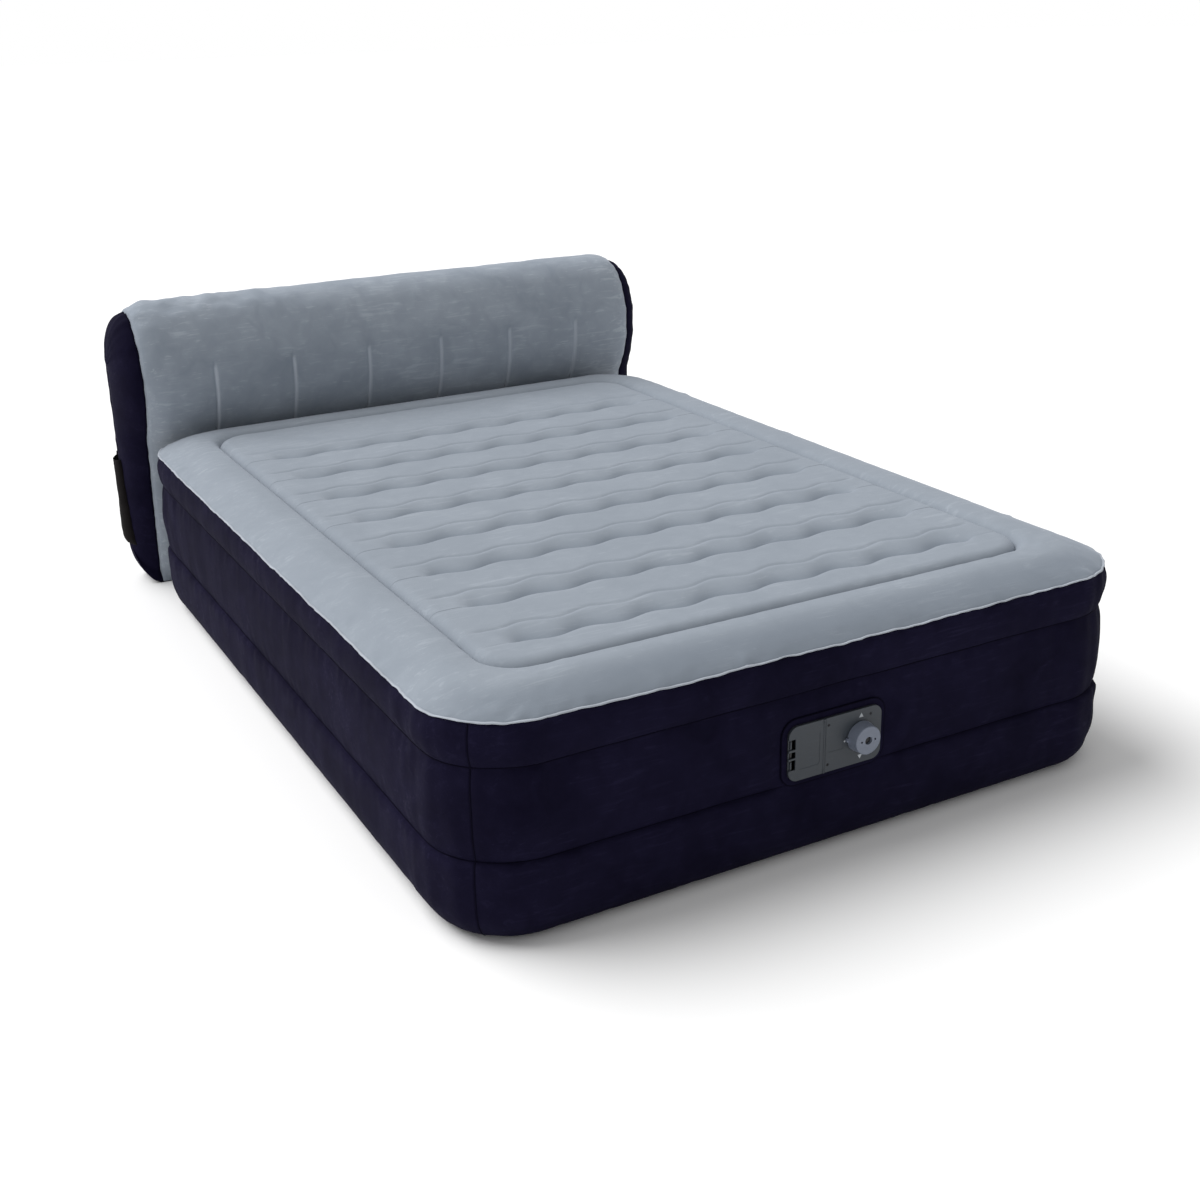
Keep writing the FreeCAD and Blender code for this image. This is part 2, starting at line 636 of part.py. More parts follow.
def make_pocket(side):
    """An open-topped storage pocket on the end skin, with a thicker hem at its mouth."""
    inner_x = HEADBOARD_WIDTH / 2 + END_BULGE
    outer_x = inner_x + POCKET_DEPTH
    front = HEAD_Y + POCKET_FRONT
    back = front + POCKET_WIDTH
    body = block(inner_x, outer_x, front, back, POCKET_LOW, POCKET_HIGH)
    hem = block(inner_x, outer_x + HEM_PROUD, front - HEM_PROUD, back + HEM_PROUD, POCKET_HIGH - POCKET_HEM,
                POCKET_HIGH)
    space = block(inner_x + POCKET_WALL, outer_x - POCKET_WALL, front + POCKET_WALL, back - POCKET_WALL,
                  POCKET_LOW + POCKET_WALL, POCKET_HIGH + OVERCUT)
    pocket = body.fuse(hem).cut(space).removeSplitter()
    return pocket if side > 0 else pocket.mirror(Vector(0, 0, 0), Vector(1, 0, 0))


# ---------------------------------------------------------------- pump mounting
def flange_outline(start, length, grow=0.0):
    """The weld flange's outside as a solid block, made larger all round by grow."""
    margin = 2 * (FLANGE_MARGIN + grow)
    return centred_slab(PLATE_WIDTH + margin, PLATE_HEIGHT + margin, FLANGE_RADIUS + grow, start,
                        start + length)


def tub_opening(start, end):
    """The cutter that clears the tub through the flange and the gasket."""
    return centred_slab(TUB_WIDTH + 2 * DOOR_GAP, TUB_HEIGHT + 2 * DOOR_GAP, TUB_RADIUS + DOOR_GAP,
                        start - OVERCUT, end + OVERCUT)


def make_flange():
    """The frame welded into the foot wall, with a skirt that the wall closes on."""
    front = PLATE_THICKNESS + GASKET_THICKNESS
    outer = flange_outline(front, FLANGE_SKIRT)
    hollow = flange_outline(front + FLANGE_THICKNESS, FLANGE_SKIRT, -2 * SKIN)
    save("pump_flange", at_pump(outer.cut(hollow).cut(tub_opening(front, front + FLANGE_SKIRT))))


def make_gasket():
    """The soft ring between the faceplate and the flange."""
    start = PLATE_THICKNESS
    end = start + GASKET_THICKNESS
    outer = centred_slab(PLATE_WIDTH, PLATE_HEIGHT, PLATE_RADIUS, start, end)
    save("faceplate_gasket", at_pump(outer.cut(tub_opening(start, end))))


def screw_spots():
    """Where the four faceplate screws are."""
    return [(x, z) for x in SCREW_COLUMNS for z in SCREW_ROWS]


def screw_end():
    """How deep the screws reach."""
    return PLATE_THICKNESS / 2 + SCREW_LENGTH


def make_tub():
    """The pump's housing: a tub behind the faceplate, with screw bosses and the valve hole."""
    start = PLATE_THICKNESS
    end = start + TUB_DEPTH
    tub = centred_slab(TUB_WIDTH, TUB_HEIGHT, TUB_RADIUS, start, end)
    inside = centred_slab(TUB_WIDTH - 2 * TUB_WALL, TUB_HEIGHT - 2 * TUB_WALL, TUB_RADIUS - TUB_WALL,
                          start - OVERCUT, end - TUB_WALL)
    tub = tub.cut(inside)
    boss_end = start + SCREW_LENGTH + BOSS_MARGIN
    for x, z in screw_spots():
        wall_z = math.copysign((TUB_HEIGHT - TUB_WALL) / 2, z)
        web = block(x - BOSS_WEB / 2, x + BOSS_WEB / 2, start, boss_end, min(z, wall_z), max(z, wall_z))
        tub = tub.fuse(rod(x, z, BOSS_RADIUS, start, boss_end)).fuse(web)
    for x, z in screw_spots():
        tub = tub.cut(rod(x, z, SCREW_RADIUS, start - OVERCUT, screw_end()))
    tub = tub.cut(rod(KNOB_X, 0, VALVE_HOLE_RADIUS, end - 2 * TUB_WALL, end + OVERCUT))
    save("pump_housing", at_pump(tub.removeSplitter()))


# ---------------------------------------------------------------- faceplate and door
def make_faceplate():
    """The fixed plate: full thickness right of the hinge, a thin frame behind the door."""
    plate = centred_slab(PLATE_WIDTH, PLATE_HEIGHT, PLATE_RADIUS, 0, PLATE_THICKNESS)
    left = -PLATE_WIDTH / 2
    behind = PLATE_THICKNESS + OVERCUT
    gap_x = HINGE_X + BARREL_RADIUS + BARREL_GAP
    door_room = DOOR_THICKNESS + DOOR_GAP
    plate = plate.cut(block(left - OVERCUT, gap_x, -OVERCUT, door_room, -PLATE_HEIGHT, PLATE_HEIGHT))
    tray_half = tray_inner_half_height()
    plate = plate.cut(block(tray_inner_left(), gap_x, -OVERCUT, behind, -tray_half, tray_half))
    plate = plate.cut(plate_holes())
    plate = plate.cut(plate_embossing())
    plate = plate.cut(hinge_rod(BARREL_RADIUS + BARREL_GAP, PLATE_HEIGHT / 2 - KNUCKLE_LENGTH))
    for low, high in LATCH_SLOTS + [CORD_SLOT]:
        plate = plate.cut(block(left + SLOT_FRAME, tray_inner_left(), -OVERCUT, behind, low, high))
    plate = plate.fuse(knuckle(-PLATE_HEIGHT / 2))
    plate = plate.fuse(knuckle(PLATE_HEIGHT / 2 - KNUCKLE_LENGTH))
    plate = plate.fuse(latch_bars())
    plate = plate.cut(hinge_rod(PIN_RADIUS, pin_half_length()))
    save("faceplate", at_pump(plate.removeSplitter()))


def plate_holes():
    """The cutters for the screws, the spindle and the ring of air vents under the knob."""
    behind = PLATE_THICKNESS + OVERCUT
    holes = [rod(KNOB_X, 0, SPINDLE_RADIUS + RUNNING_FIT, -OVERCUT, behind)]
    for x, z in screw_spots():
        holes.append(rod(x, z, SCREW_RADIUS, -OVERCUT, behind))
        holes.append(rod(x, z, SCREW_HEAD_RADIUS + HEAD_CLEARANCE, -OVERCUT, PLATE_THICKNESS / 2))
    for index in range(VENT_COUNT):
        angle = 2 * math.pi * index / VENT_COUNT
        x = KNOB_X + VENT_CIRCLE * math.cos(angle)
        holes.append(rod(x, VENT_CIRCLE * math.sin(angle), VENT_RADIUS, -OVERCUT, behind))
    return Part.makeCompound(holes)


def plate_embossing():
    """The cutters for the shallow blank label field and the ring round the knob."""
    label = rounded_slab(HINGE_X + LABEL_HINGE_GAP, KNOB_X - KNOB_RADIUS - LABEL_KNOB_GAP, -OVERCUT,
                         EMBOSS_DEPTH, -LABEL_HEIGHT / 2, LABEL_HEIGHT / 2, LABEL_RADIUS)
    inner = KNOB_RADIUS + RING_GAP
    ring = rod(KNOB_X, 0, inner + RING_WIDTH, -OVERCUT, RING_DEPTH)
    ring = ring.cut(rod(KNOB_X, 0, inner, -2 * OVERCUT, RING_DEPTH + OVERCUT))
    return Part.makeCompound([label, ring])


def latch_bars():
    """The two catches that show in the door's latch notches."""
    x = LATCH_BAR_GAP - PLATE_WIDTH / 2
    bars = []
    for low, high in LATCH_SLOTS:
        bridge = block(x, x + LATCH_BAR_WIDTH, DOOR_THICKNESS + DOOR_GAP, PLATE_THICKNESS, low, high)
        catch = block(x, x + LATCH_BAR_WIDTH, CATCH_SETBACK, PLATE_THICKNESS, low + LATCH_BAR_GAP,
                      high - LATCH_BAR_GAP)
        bars.append(bridge.fuse(catch))
    return Part.makeCompound(bars)


def hinge_rod(radius, half_length):
    """A cylinder on the door's hinge axis."""
    return Part.makeCylinder(radius, 2 * half_length, Vector(HINGE_X, HINGE_SETBACK, -half_length))


def pin_half_length():
    """Half of the hinge pin's length."""
    return PLATE_HEIGHT / 2 - PIN_END_GAP


def knuckle(low):
    """One of the plate's knuckles, at the top or the bottom end of the hinge."""
    barrel = Part.makeCylinder(BARREL_RADIUS, KNUCKLE_LENGTH, Vector(HINGE_X, HINGE_SETBACK, low))
    foot = block(HINGE_X - BARREL_RADIUS, HINGE_X + BARREL_RADIUS + BARREL_GAP + KNUCKLE_FOOT, HINGE_SETBACK,
                 PLATE_THICKNESS, low, low + KNUCKLE_LENGTH)
    return barrel.fuse(foot)


def make_door():
    """The cord door: it swings out on a pin beside the fixed plate."""
    left = -PLATE_WIDTH / 2
    behind = DOOR_THICKNESS + OVERCUT
    door = centred_slab(PLATE_WIDTH, PLATE_HEIGHT, PLATE_RADIUS, 0, DOOR_THICKNESS)
    door = door.common(block(left - OVERCUT, HINGE_X, -OVERCUT, behind, -PLATE_HEIGHT, PLATE_HEIGHT))
    barrel_end = PLATE_HEIGHT / 2 - KNUCKLE_LENGTH - DOOR_GAP
    door = door.fuse(hinge_rod(BARREL_RADIUS, barrel_end))
    for low in (barrel_end, -PLATE_HEIGHT):
        clear = block(HINGE_X - BARREL_RADIUS - BARREL_GAP, HINGE_X + 2 * BARREL_RADIUS, -BARREL_RADIUS,
                      2 * BARREL_RADIUS, low, low + PLATE_HEIGHT - barrel_end)
        door = door.cut(clear)
    for low, high in LATCH_SLOTS + [CORD_SLOT]:
        door = door.cut(block(left - OVERCUT, left + SLOT_DEPTH, -OVERCUT, behind, low, high))
    door = door.cut(hinge_rod(PIN_RADIUS + RUNNING_FIT, PLATE_HEIGHT))
    panel_top = PLATE_HEIGHT / 2 - PANEL_EDGE_GAP
    recess = rounded_slab(left + SLOT_DEPTH + PANEL_SLOT_GAP, HINGE_X - PANEL_HINGE_GAP, -OVERCUT,
                          EMBOSS_DEPTH, -panel_top, panel_top, PANEL_RADIUS)
    save("cord_door", at_pump(door.cut(recess).removeSplitter()))


def tray_inner_left():
    """The tray's inner left face."""
    return TUB_WALL + DOOR_GAP + TRAY_WALL - TUB_WIDTH / 2


def tray_inner_half_height():
    """Half of the tray's inner height."""
    return TUB_HEIGHT / 2 - TUB_WALL - DOOR_GAP - TRAY_WALL


def tray_front():
    """The depth of the tray's front edge."""
    return PLATE_THICKNESS + DOOR_GAP / 2


def make_tray():
    """The open tray behind the door, where the cord is kept, with the hole for its gland."""
    start = tray_front()
    back = start + TRAY_DEPTH
    left = tray_inner_left()
    half = tray_inner_half_height()
    radius = TUB_RADIUS - TUB_WALL - DOOR_GAP
    outer = rounded_slab(left - TRAY_WALL, TRAY_RIGHT, start, back, -half - TRAY_WALL, half + TRAY_WALL,
                         radius)
    inner = rounded_slab(left, TRAY_RIGHT - TRAY_WALL, start - OVERCUT, back - TRAY_WALL, -half, half,
                         radius - TRAY_WALL)
    hole = rod(GLAND_X, GLAND_Z, GLAND_RADIUS, start, back + OVERCUT)
    save("cord_tray", at_pump(outer.cut(inner).cut(hole)))


def make_gland():
    """The grommet in the tray's back wall."""
    back = tray_front() + TRAY_DEPTH
    front = back - TRAY_WALL
    body = rod(GLAND_X, GLAND_Z, GLAND_RADIUS, front, back)
    lip = rod(GLAND_X, GLAND_Z, GLAND_RADIUS + GLAND_LIP, front - GLAND_LIP, front)
    gland = body.fuse(lip).cut(rod(GLAND_X, GLAND_Z, GLAND_BORE, 0, back + OVERCUT))
    save("cord_gland", at_pump(gland.removeSplitter()))


def make_hinge_pin():
    """The door's hinge pin, held by the faceplate's knuckles."""
    save("door_hinge_pin", at_pump(hinge_rod(PIN_RADIUS, pin_half_length())))


def make_screws():
    """Four pan-head screws that hold the faceplate to the housing."""
    long = CROSS_LENGTH / 2
    thin = CROSS_WIDTH / 2
    screws = []
    for x, z in screw_spots():
        head = rod(x, z, SCREW_HEAD_RADIUS, HEAD_CLEARANCE, PLATE_THICKNESS / 2)
        across = block(x - long, x + long, 0, CROSS_DEPTH, z - thin, z + thin)
        upright = block(x - thin, x + thin, 0, CROSS_DEPTH, z - long, z + long)
        shank = rod(x, z, SCREW_RADIUS, PLATE_THICKNESS / 2, screw_end())
        screws.append(at_pump(head.fuse(shank).cut(across).cut(upright).removeSplitter()))
    save("faceplate_screws", Part.makeCompound(screws))


# ---------------------------------------------------------------- knob and diverter
def knob_front():
    """The depth of the knob's face, which is negative, ahead of the plate."""
    return -KNOB_LIFT - KNOB_HEIGHT


def spindle_front():
    """The depth at which the spindle starts, at the bottom of the knob's port."""
    return knob_front() + KNOB_PORT_DEPTH


def make_knob():
    """The selector knob: a hollow cap with a port, two finger holes and a pointer."""
    back = -KNOB_LIFT
    front = knob_front()
    cone = Part.makeCone(KNOB_RADIUS, KNOB_FACE_RADIUS, KNOB_HEIGHT, Vector(KNOB_X, back, 0), OUT)
    front_edges = [e for e in cone.Edges if e.BoundBox.YMax < front + TOUCHING]
    knob = cone.makeFillet(KNOB_EDGE_RADIUS, front_edges)
    knob = knob.cut(rod(KNOB_X, 0, KNOB_FACE_RADIUS - KNOB_WALL, front + KNOB_WALL, back + OVERCUT))
    knob = knob.fuse(rod(KNOB_X, 0, SPINDLE_RADIUS + HUB_WALL, front + HUB_SETBACK, back))
    pointer_x = KNOB_X - KNOB_RADIUS - POINTER_REACH
    knob = knob.fuse(rod(pointer_x, 0, POINTER_RADIUS, back - POINTER_LENGTH, back))
    rib = block(KNOB_X - KNOB_FACE_RADIUS, KNOB_X - SPINDLE_RADIUS, front + RIB_SETBACK, back,
                -RIB_THICKNESS / 2, RIB_THICKNESS / 2)
    for index in range(RIB_COUNT):
        spoke = rib.copy()
        spoke.rotate(Vector(KNOB_X, 0, 0), INTO, (index + 0.5) * FULL_TURN / RIB_COUNT)
        knob = knob.fuse(spoke)
    knob = knob.cut(rod(KNOB_X, 0, KNOB_PORT_RADIUS, front - OVERCUT, spindle_front()))
    for side in (-1, 1):
        x = KNOB_X + side * KNOB_HOLE_SPREAD
        knob = knob.cut(rod(x, 0, KNOB_HOLE_RADIUS, front - OVERCUT, front + KNOB_HOLE_DEPTH))
    knob = knob.cut(rod(KNOB_X, 0, SPINDLE_RADIUS, spindle_front(), back + OVERCUT))
    save("control_knob", at_pump(knob.removeSplitter()))


def make_spindle():
    """The spindle, with the collar behind the plate and the cam that works the switch."""
    spindle = rod(KNOB_X, 0, SPINDLE_RADIUS, spindle_front(), DRUM_START)
    collar_start = PLATE_THICKNESS + DOOR_GAP
    collar = rod(KNOB_X, 0, SPINDLE_RADIUS + COLLAR_RISE, collar_start, collar_start + COLLAR_LENGTH)
    cam = rod(KNOB_X, 0, CAM_RADIUS, CAM_START, CAM_END)
    flat = block(KNOB_X + CAM_FLAT, KNOB_X + 2 * CAM_RADIUS, CAM_START - OVERCUT, CAM_END + OVERCUT,
                 -2 * CAM_RADIUS, 2 * CAM_RADIUS)
    save("knob_spindle", at_pump(spindle.fuse(collar).fuse(cam.cut(flat)).removeSplitter()))


def make_knob_cap():
    """The cap that holds the knob on its spindle, seen down the port."""
    start = spindle_front()
    save("knob_cap", at_pump(rod(KNOB_X, 0, KNOB_PORT_RADIUS - CAP_GAP, start - CAP_THICKNESS, start)))


def make_drum():
    """The diverter: a cup on the spindle with one side port."""
    drum = rod(KNOB_X, 0, DRUM_RADIUS, DRUM_START, DRUM_END)
    drum = drum.cut(rod(KNOB_X, 0, DRUM_RADIUS - DRUM_WALL, DRUM_START + DRUM_WALL, DRUM_END + OVERCUT))
    port = block(KNOB_X - 2 * DRUM_RADIUS, KNOB_X, DRUM_START + DRUM_PORT_MARGIN, DRUM_END - DRUM_PORT_MARGIN,
                 -PORT_HEIGHT / 2, PORT_HEIGHT / 2)
    save("diverter_drum", at_pump(drum.cut(port)))


def make_sleeve():
    """The fixed sleeve round the drum, with the port to the blower."""
    inner = DRUM_RADIUS + DRUM_GAP
    start = DRUM_START - SLEEVE_OVERLAP
    end = DRUM_END + SLEEVE_OVERLAP
    sleeve = rod(KNOB_X, 0, inner + SLEEVE_WALL, start, end)
    sleeve = sleeve.cut(rod(KNOB_X, 0, inner, start - OVERCUT, end + OVERCUT))
    port = block(KNOB_X - 2 * DRUM_RADIUS, KNOB_X, SCROLL_START + SLEEVE_PORT_MARGIN,
                 SCROLL_END - SLEEVE_PORT_MARGIN, -PORT_HEIGHT / 2, PORT_HEIGHT / 2)
    save("diverter_sleeve", at_pump(sleeve.cut(port)))


# ---------------------------------------------------------------- blower
def scroll_block(grow, start, end):
    """The scroll's drum and its outlet duct to the sleeve, as one block."""
    drum = rod(BLOWER_X, 0, SCROLL_RADIUS + grow, start, end)
    duct_end = KNOB_X - DRUM_RADIUS - DRUM_GAP - SLEEVE_WALL - DUCT_END_GAP + grow
    duct = block(BLOWER_X, duct_end, start, end, -DUCT_HEIGHT / 2 - grow, DUCT_HEIGHT / 2 + grow)
    return drum.fuse(duct)


def make_scroll():
    """The blower's scroll case, open at the front, where its cover fits."""
    trim = block(KNOB_X - DRUM_RADIUS - DUCT_TRIM, KNOB_X, 0, TUB_DEPTH, -TUB_HEIGHT, TUB_HEIGHT)
    case = scroll_block(SCROLL_WALL, SCROLL_START, SCROLL_END)
    case = case.cut(scroll_block(0, SCROLL_START - OVERCUT, SCROLL_END - SCROLL_WALL)).cut(trim)
    case = case.cut(rod(BLOWER_X, 0, BUSH_RADIUS + BUSH_HOLE_GAP, SCROLL_START, SCROLL_END + OVERCUT))
    save("scroll_case", at_pump(case.removeSplitter()))
    cover = scroll_block(SCROLL_WALL, SCROLL_START - SCROLL_WALL, SCROLL_START).cut(trim)
    cover = cover.cut(rod(BLOWER_X, 0, INLET_RADIUS, 0, TUB_DEPTH))
    save("scroll_cover", at_pump(cover.removeSplitter()))


def make_impeller():
    """The fan wheel: a back disc, a hub and straight blades."""
    start = SCROLL_START + IMPELLER_GAP
    end = SCROLL_END - SCROLL_WALL - IMPELLER_GAP
    wheel = rod(BLOWER_X, 0, IMPELLER_RADIUS, end - IMPELLER_DISC, end)
    wheel = wheel.fuse(rod(BLOWER_X, 0, IMPELLER_HUB_RADIUS, start, end))
    for index in range(BLADE_COUNT):
        blade = block(BLOWER_X + IMPELLER_HUB_RADIUS - BLADE_OVERLAP,
                      BLOWER_X + IMPELLER_RADIUS - BLADE_TIP_GAP,
                      start, end, -BLADE_THICKNESS / 2, BLADE_THICKNESS / 2)
        blade.rotate(Vector(BLOWER_X, 0, 0), INTO, index * FULL_TURN / BLADE_COUNT)
        wheel = wheel.fuse(blade)
    wheel = wheel.cut(rod(BLOWER_X, 0, SHAFT_RADIUS, 0, TUB_DEPTH))
    save("impeller", at_pump(wheel.removeSplitter()))


def make_motor():
    """The motor's can, its two bushes, its rotor and the shaft that carries the impeller."""
    end = MOTOR_START + MOTOR_LENGTH
    can = rod(BLOWER_X, 0, MOTOR_RADIUS, MOTOR_START, end)
    can = can.cut(rod(BLOWER_X, 0, MOTOR_RADIUS - MOTOR_WALL, MOTOR_START + MOTOR_END_WALL,
                      end - MOTOR_END_WALL))
    can = can.cut(rod(BLOWER_X, 0, BUSH_RADIUS, MOTOR_START - OVERCUT, end + OVERCUT))
    save("motor_can", at_pump(can))
    bushes = []
    for low in (MOTOR_START, end - BUSH_LENGTH):
        bush = rod(BLOWER_X, 0, BUSH_RADIUS, low, low + BUSH_LENGTH)
        bushes.append(at_pump(bush.cut(rod(BLOWER_X, 0, SHAFT_RADIUS + RUNNING_FIT / 2, 0, TUB_DEPTH))))
    save("motor_bushes", Part.makeCompound(bushes))
    shaft_start = SCROLL_START + IMPELLER_GAP - SHAFT_OVERHANG
    save("motor_shaft", at_pump(rod(BLOWER_X, 0, SHAFT_RADIUS, shaft_start, end + SHAFT_OVERHANG)))
    rotor = rod(BLOWER_X, 0, MOTOR_RADIUS - ROTOR_RADIAL_GAP, MOTOR_START + ROTOR_END_GAP,
                end - ROTOR_END_GAP)
    save("motor_rotor", at_pump(rotor.cut(rod(BLOWER_X, 0, SHAFT_RADIUS, 0, TUB_DEPTH))))


# ---------------------------------------------------------------- check valve and switch
def make_valve():
    """The check valve on the housing's back: seat, disc, cage and spring."""
    seat_start = PLATE_THICKNESS + TUB_DEPTH
    disc_start = seat_start + SEAT_THICKNESS
    disc_end = disc_start + DISC_THICKNESS
    cage_end = disc_end + CAGE_DEPTH
    seat = rod(KNOB_X, 0, SEAT_RADIUS, seat_start, disc_start)
    save("valve_seat", at_pump(seat.cut(rod(KNOB_X, 0, VALVE_HOLE_RADIUS, 0, cage_end))))
    disc = rod(KNOB_X, 0, DISC_RADIUS, disc_start, disc_end)
    stem = rod(KNOB_X, 0, STEM_RADIUS, disc_end, cage_end + STEM_OVERHANG)
    save("valve_disc", at_pump(disc.fuse(stem).removeSplitter()))
    save("valve_cage", at_pump(valve_cage(seat_start, disc_start, cage_end)))
    save("valve_spring", Part.makeCompound(spring_coils(disc_end)))


def valve_cage(seat_start, disc_start, cage_end):
    """The cage: a cup round the seat with four windows and a guide hole for the stem."""
    radius = SEAT_RADIUS + CAGE_WALL
    floor = cage_end - CAGE_END_WALL
    cage = rod(KNOB_X, 0, radius, seat_start, cage_end)
    cage = cage.cut(rod(KNOB_X, 0, SEAT_RADIUS, seat_start - OVERCUT, floor))
    half = CAGE_WINDOW / 2
    across = block(KNOB_X - 2 * radius, KNOB_X + 2 * radius, disc_start, floor, -half, half)
    upright = block(KNOB_X - half, KNOB_X + half, disc_start, floor, -2 * radius, 2 * radius)
    guide = rod(KNOB_X, 0, STEM_RADIUS + RUNNING_FIT, 0, cage_end + OVERCUT)
    return cage.cut(Part.makeCompound([across, upright])).cut(guide).removeSplitter()


def spring_coils(disc_end):
    """The spring's turns, as closed rings between the disc and the cage's end."""
    spacing = (CAGE_DEPTH - CAGE_END_WALL - 4 * SPRING_WIRE) / (SPRING_COILS - 1)
    coils = []
    for index in range(SPRING_COILS):
        centre = Vector(KNOB_X, disc_end + 2 * SPRING_WIRE + index * spacing, 0)
        coils.append(at_pump(Part.makeTorus(SPRING_RADIUS, SPRING_WIRE, centre, INTO)))
    return coils


def make_switch():
    """The microswitch that the spindle's cam works, and its button."""
    half_depth = SWITCH_DEPTH / 2
    body = block(SWITCH_X, SWITCH_X + SWITCH_LENGTH, SWITCH_MIDDLE - half_depth, SWITCH_MIDDLE + half_depth,
                 -SWITCH_HEIGHT / 2, SWITCH_HEIGHT / 2)
    tip = KNOB_X + CAM_RADIUS + CAM_GAP
    button_end = SWITCH_X + BUTTON_REACH
    room = button_block(SWITCH_X - OVERCUT, button_end + BUTTON_END_GAP, RUNNING_FIT)
    save("switch_body", at_pump(body.cut(room)))
    save("switch_button", at_pump(button_block(tip, button_end, 0)))


def button_block(start, end, clearance):
    """The switch button's square bar between two places on X, made larger by a clearance."""
    half = BUTTON_SIDE / 2 + clearance
    return block(start, end, SWITCH_MIDDLE - half, SWITCH_MIDDLE + half, -half, half)


# ---------------------------------------------------------------- everything
def main():
    """Builds every node."""
    os.makedirs("parts", exist_ok=True)
    make_walls()
    make_top_sheet()
    make_bottom_sheet()
    make_rim_beam()
    make_girdle("upper_girdle", UPPER_CREASE_HEIGHT)
    make_girdle("lower_girdle", LOWER_CREASE_HEIGHT)
    make_wave_beams()
    make_headboard()
    make_join_strip()
    make_air_port()
    save("pocket_left", make_pocket(-1))
    save("pocket_right", make_pocket(1))
    make_flange()
    make_gasket()
    make_tub()
    make_faceplate()
    make_door()
    make_tray()
    make_gland()
    make_hinge_pin()
    make_screws()
    make_knob()
    make_spindle()
    make_knob_cap()
    make_drum()
    make_sleeve()
    make_scroll()
    make_impeller()
    make_motor()
    make_valve()
    make_switch()


main()
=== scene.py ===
"""A raised flocked airbed with an inflated headboard and a built-in pump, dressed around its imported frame."""

import json
import logging
import math
from collections.abc import Callable, Iterable, Sequence
from dataclasses import dataclass, field
from enum import Enum

import bmesh
import bpy
from mathutils import Matrix, Vector, noise
from mathutils.bvhtree import BVHTree
from mathutils.kdtree import KDTree


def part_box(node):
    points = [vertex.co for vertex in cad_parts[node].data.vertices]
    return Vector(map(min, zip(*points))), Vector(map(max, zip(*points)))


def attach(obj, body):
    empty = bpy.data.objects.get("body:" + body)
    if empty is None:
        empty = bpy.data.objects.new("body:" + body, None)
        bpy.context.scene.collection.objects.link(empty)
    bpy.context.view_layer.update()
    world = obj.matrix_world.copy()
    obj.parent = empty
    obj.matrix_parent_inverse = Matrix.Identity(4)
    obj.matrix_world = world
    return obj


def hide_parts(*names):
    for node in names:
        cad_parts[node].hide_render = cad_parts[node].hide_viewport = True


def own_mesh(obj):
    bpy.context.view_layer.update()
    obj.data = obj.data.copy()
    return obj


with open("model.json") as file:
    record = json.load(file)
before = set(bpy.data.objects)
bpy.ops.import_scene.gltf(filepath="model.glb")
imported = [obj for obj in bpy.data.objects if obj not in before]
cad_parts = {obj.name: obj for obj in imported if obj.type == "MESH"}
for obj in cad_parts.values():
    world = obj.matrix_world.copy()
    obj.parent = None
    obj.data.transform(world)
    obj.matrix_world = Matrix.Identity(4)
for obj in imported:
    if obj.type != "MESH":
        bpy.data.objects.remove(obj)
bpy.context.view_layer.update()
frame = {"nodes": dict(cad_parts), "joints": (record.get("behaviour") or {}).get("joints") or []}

LOG = logging.getLogger("airbed")
ROOT = "airbed"
UP = Vector((0.0, 0.0, 1.0))
MILLIMETRE = 0.001
SAME_POINT = 0.00002
WEB_THICKNESS = 0.001
Colour = tuple[float, float, float]
Point = tuple[float, float]
Profile = Sequence[Point]


# ---------------------------------------------------------------- shader expressions
class Value:
    """A shader socket that takes part in Python arithmetic."""

    def __init__(self, graph: "Graph", socket: bpy.types.NodeSocket) -> None:
        """Keeps the graph that new nodes are added to and the socket that this value reads."""
        self.graph = graph
        self.socket = socket

    def _math(self, operation: str, first: "Value | float", second: "Value | float" = 0.0) -> "Value":
        """Adds one Math node on two values."""
        return self.graph.add("ShaderNodeMath", {"operation": operation}, {0: first, 1: second})

    def __add__(self, other: "Value | float") -> "Value":
        """Self plus other."""
        return self._math("ADD", self, other)

    def __sub__(self, other: "Value | float") -> "Value":
        """Self minus other."""
        return self._math("SUBTRACT", self, other)

    def __rsub__(self, other: float) -> "Value":
        """A number minus self."""
        return self._math("SUBTRACT", other, self)

    def __mul__(self, other: "Value | float") -> "Value":
        """Self times other."""
        return self._math("MULTIPLY", self, other)

    def __pow__(self, other: float) -> "Value":
        """Self to a power."""
        return self._math("POWER", self, other)

    __radd__ = __add__
    __rmul__ = __mul__

    def clamped(self) -> "Value":
        """Self held between 0 and 1."""
        return self._math("MINIMUM", self._math("MAXIMUM", self, 0.0), 1.0)

    def over(self, low: float, high: float) -> "Value":
        """How far self has come from low to high, held between 0 and 1."""
        return ((self - low) * (1.0 / (high - low))).clamped()


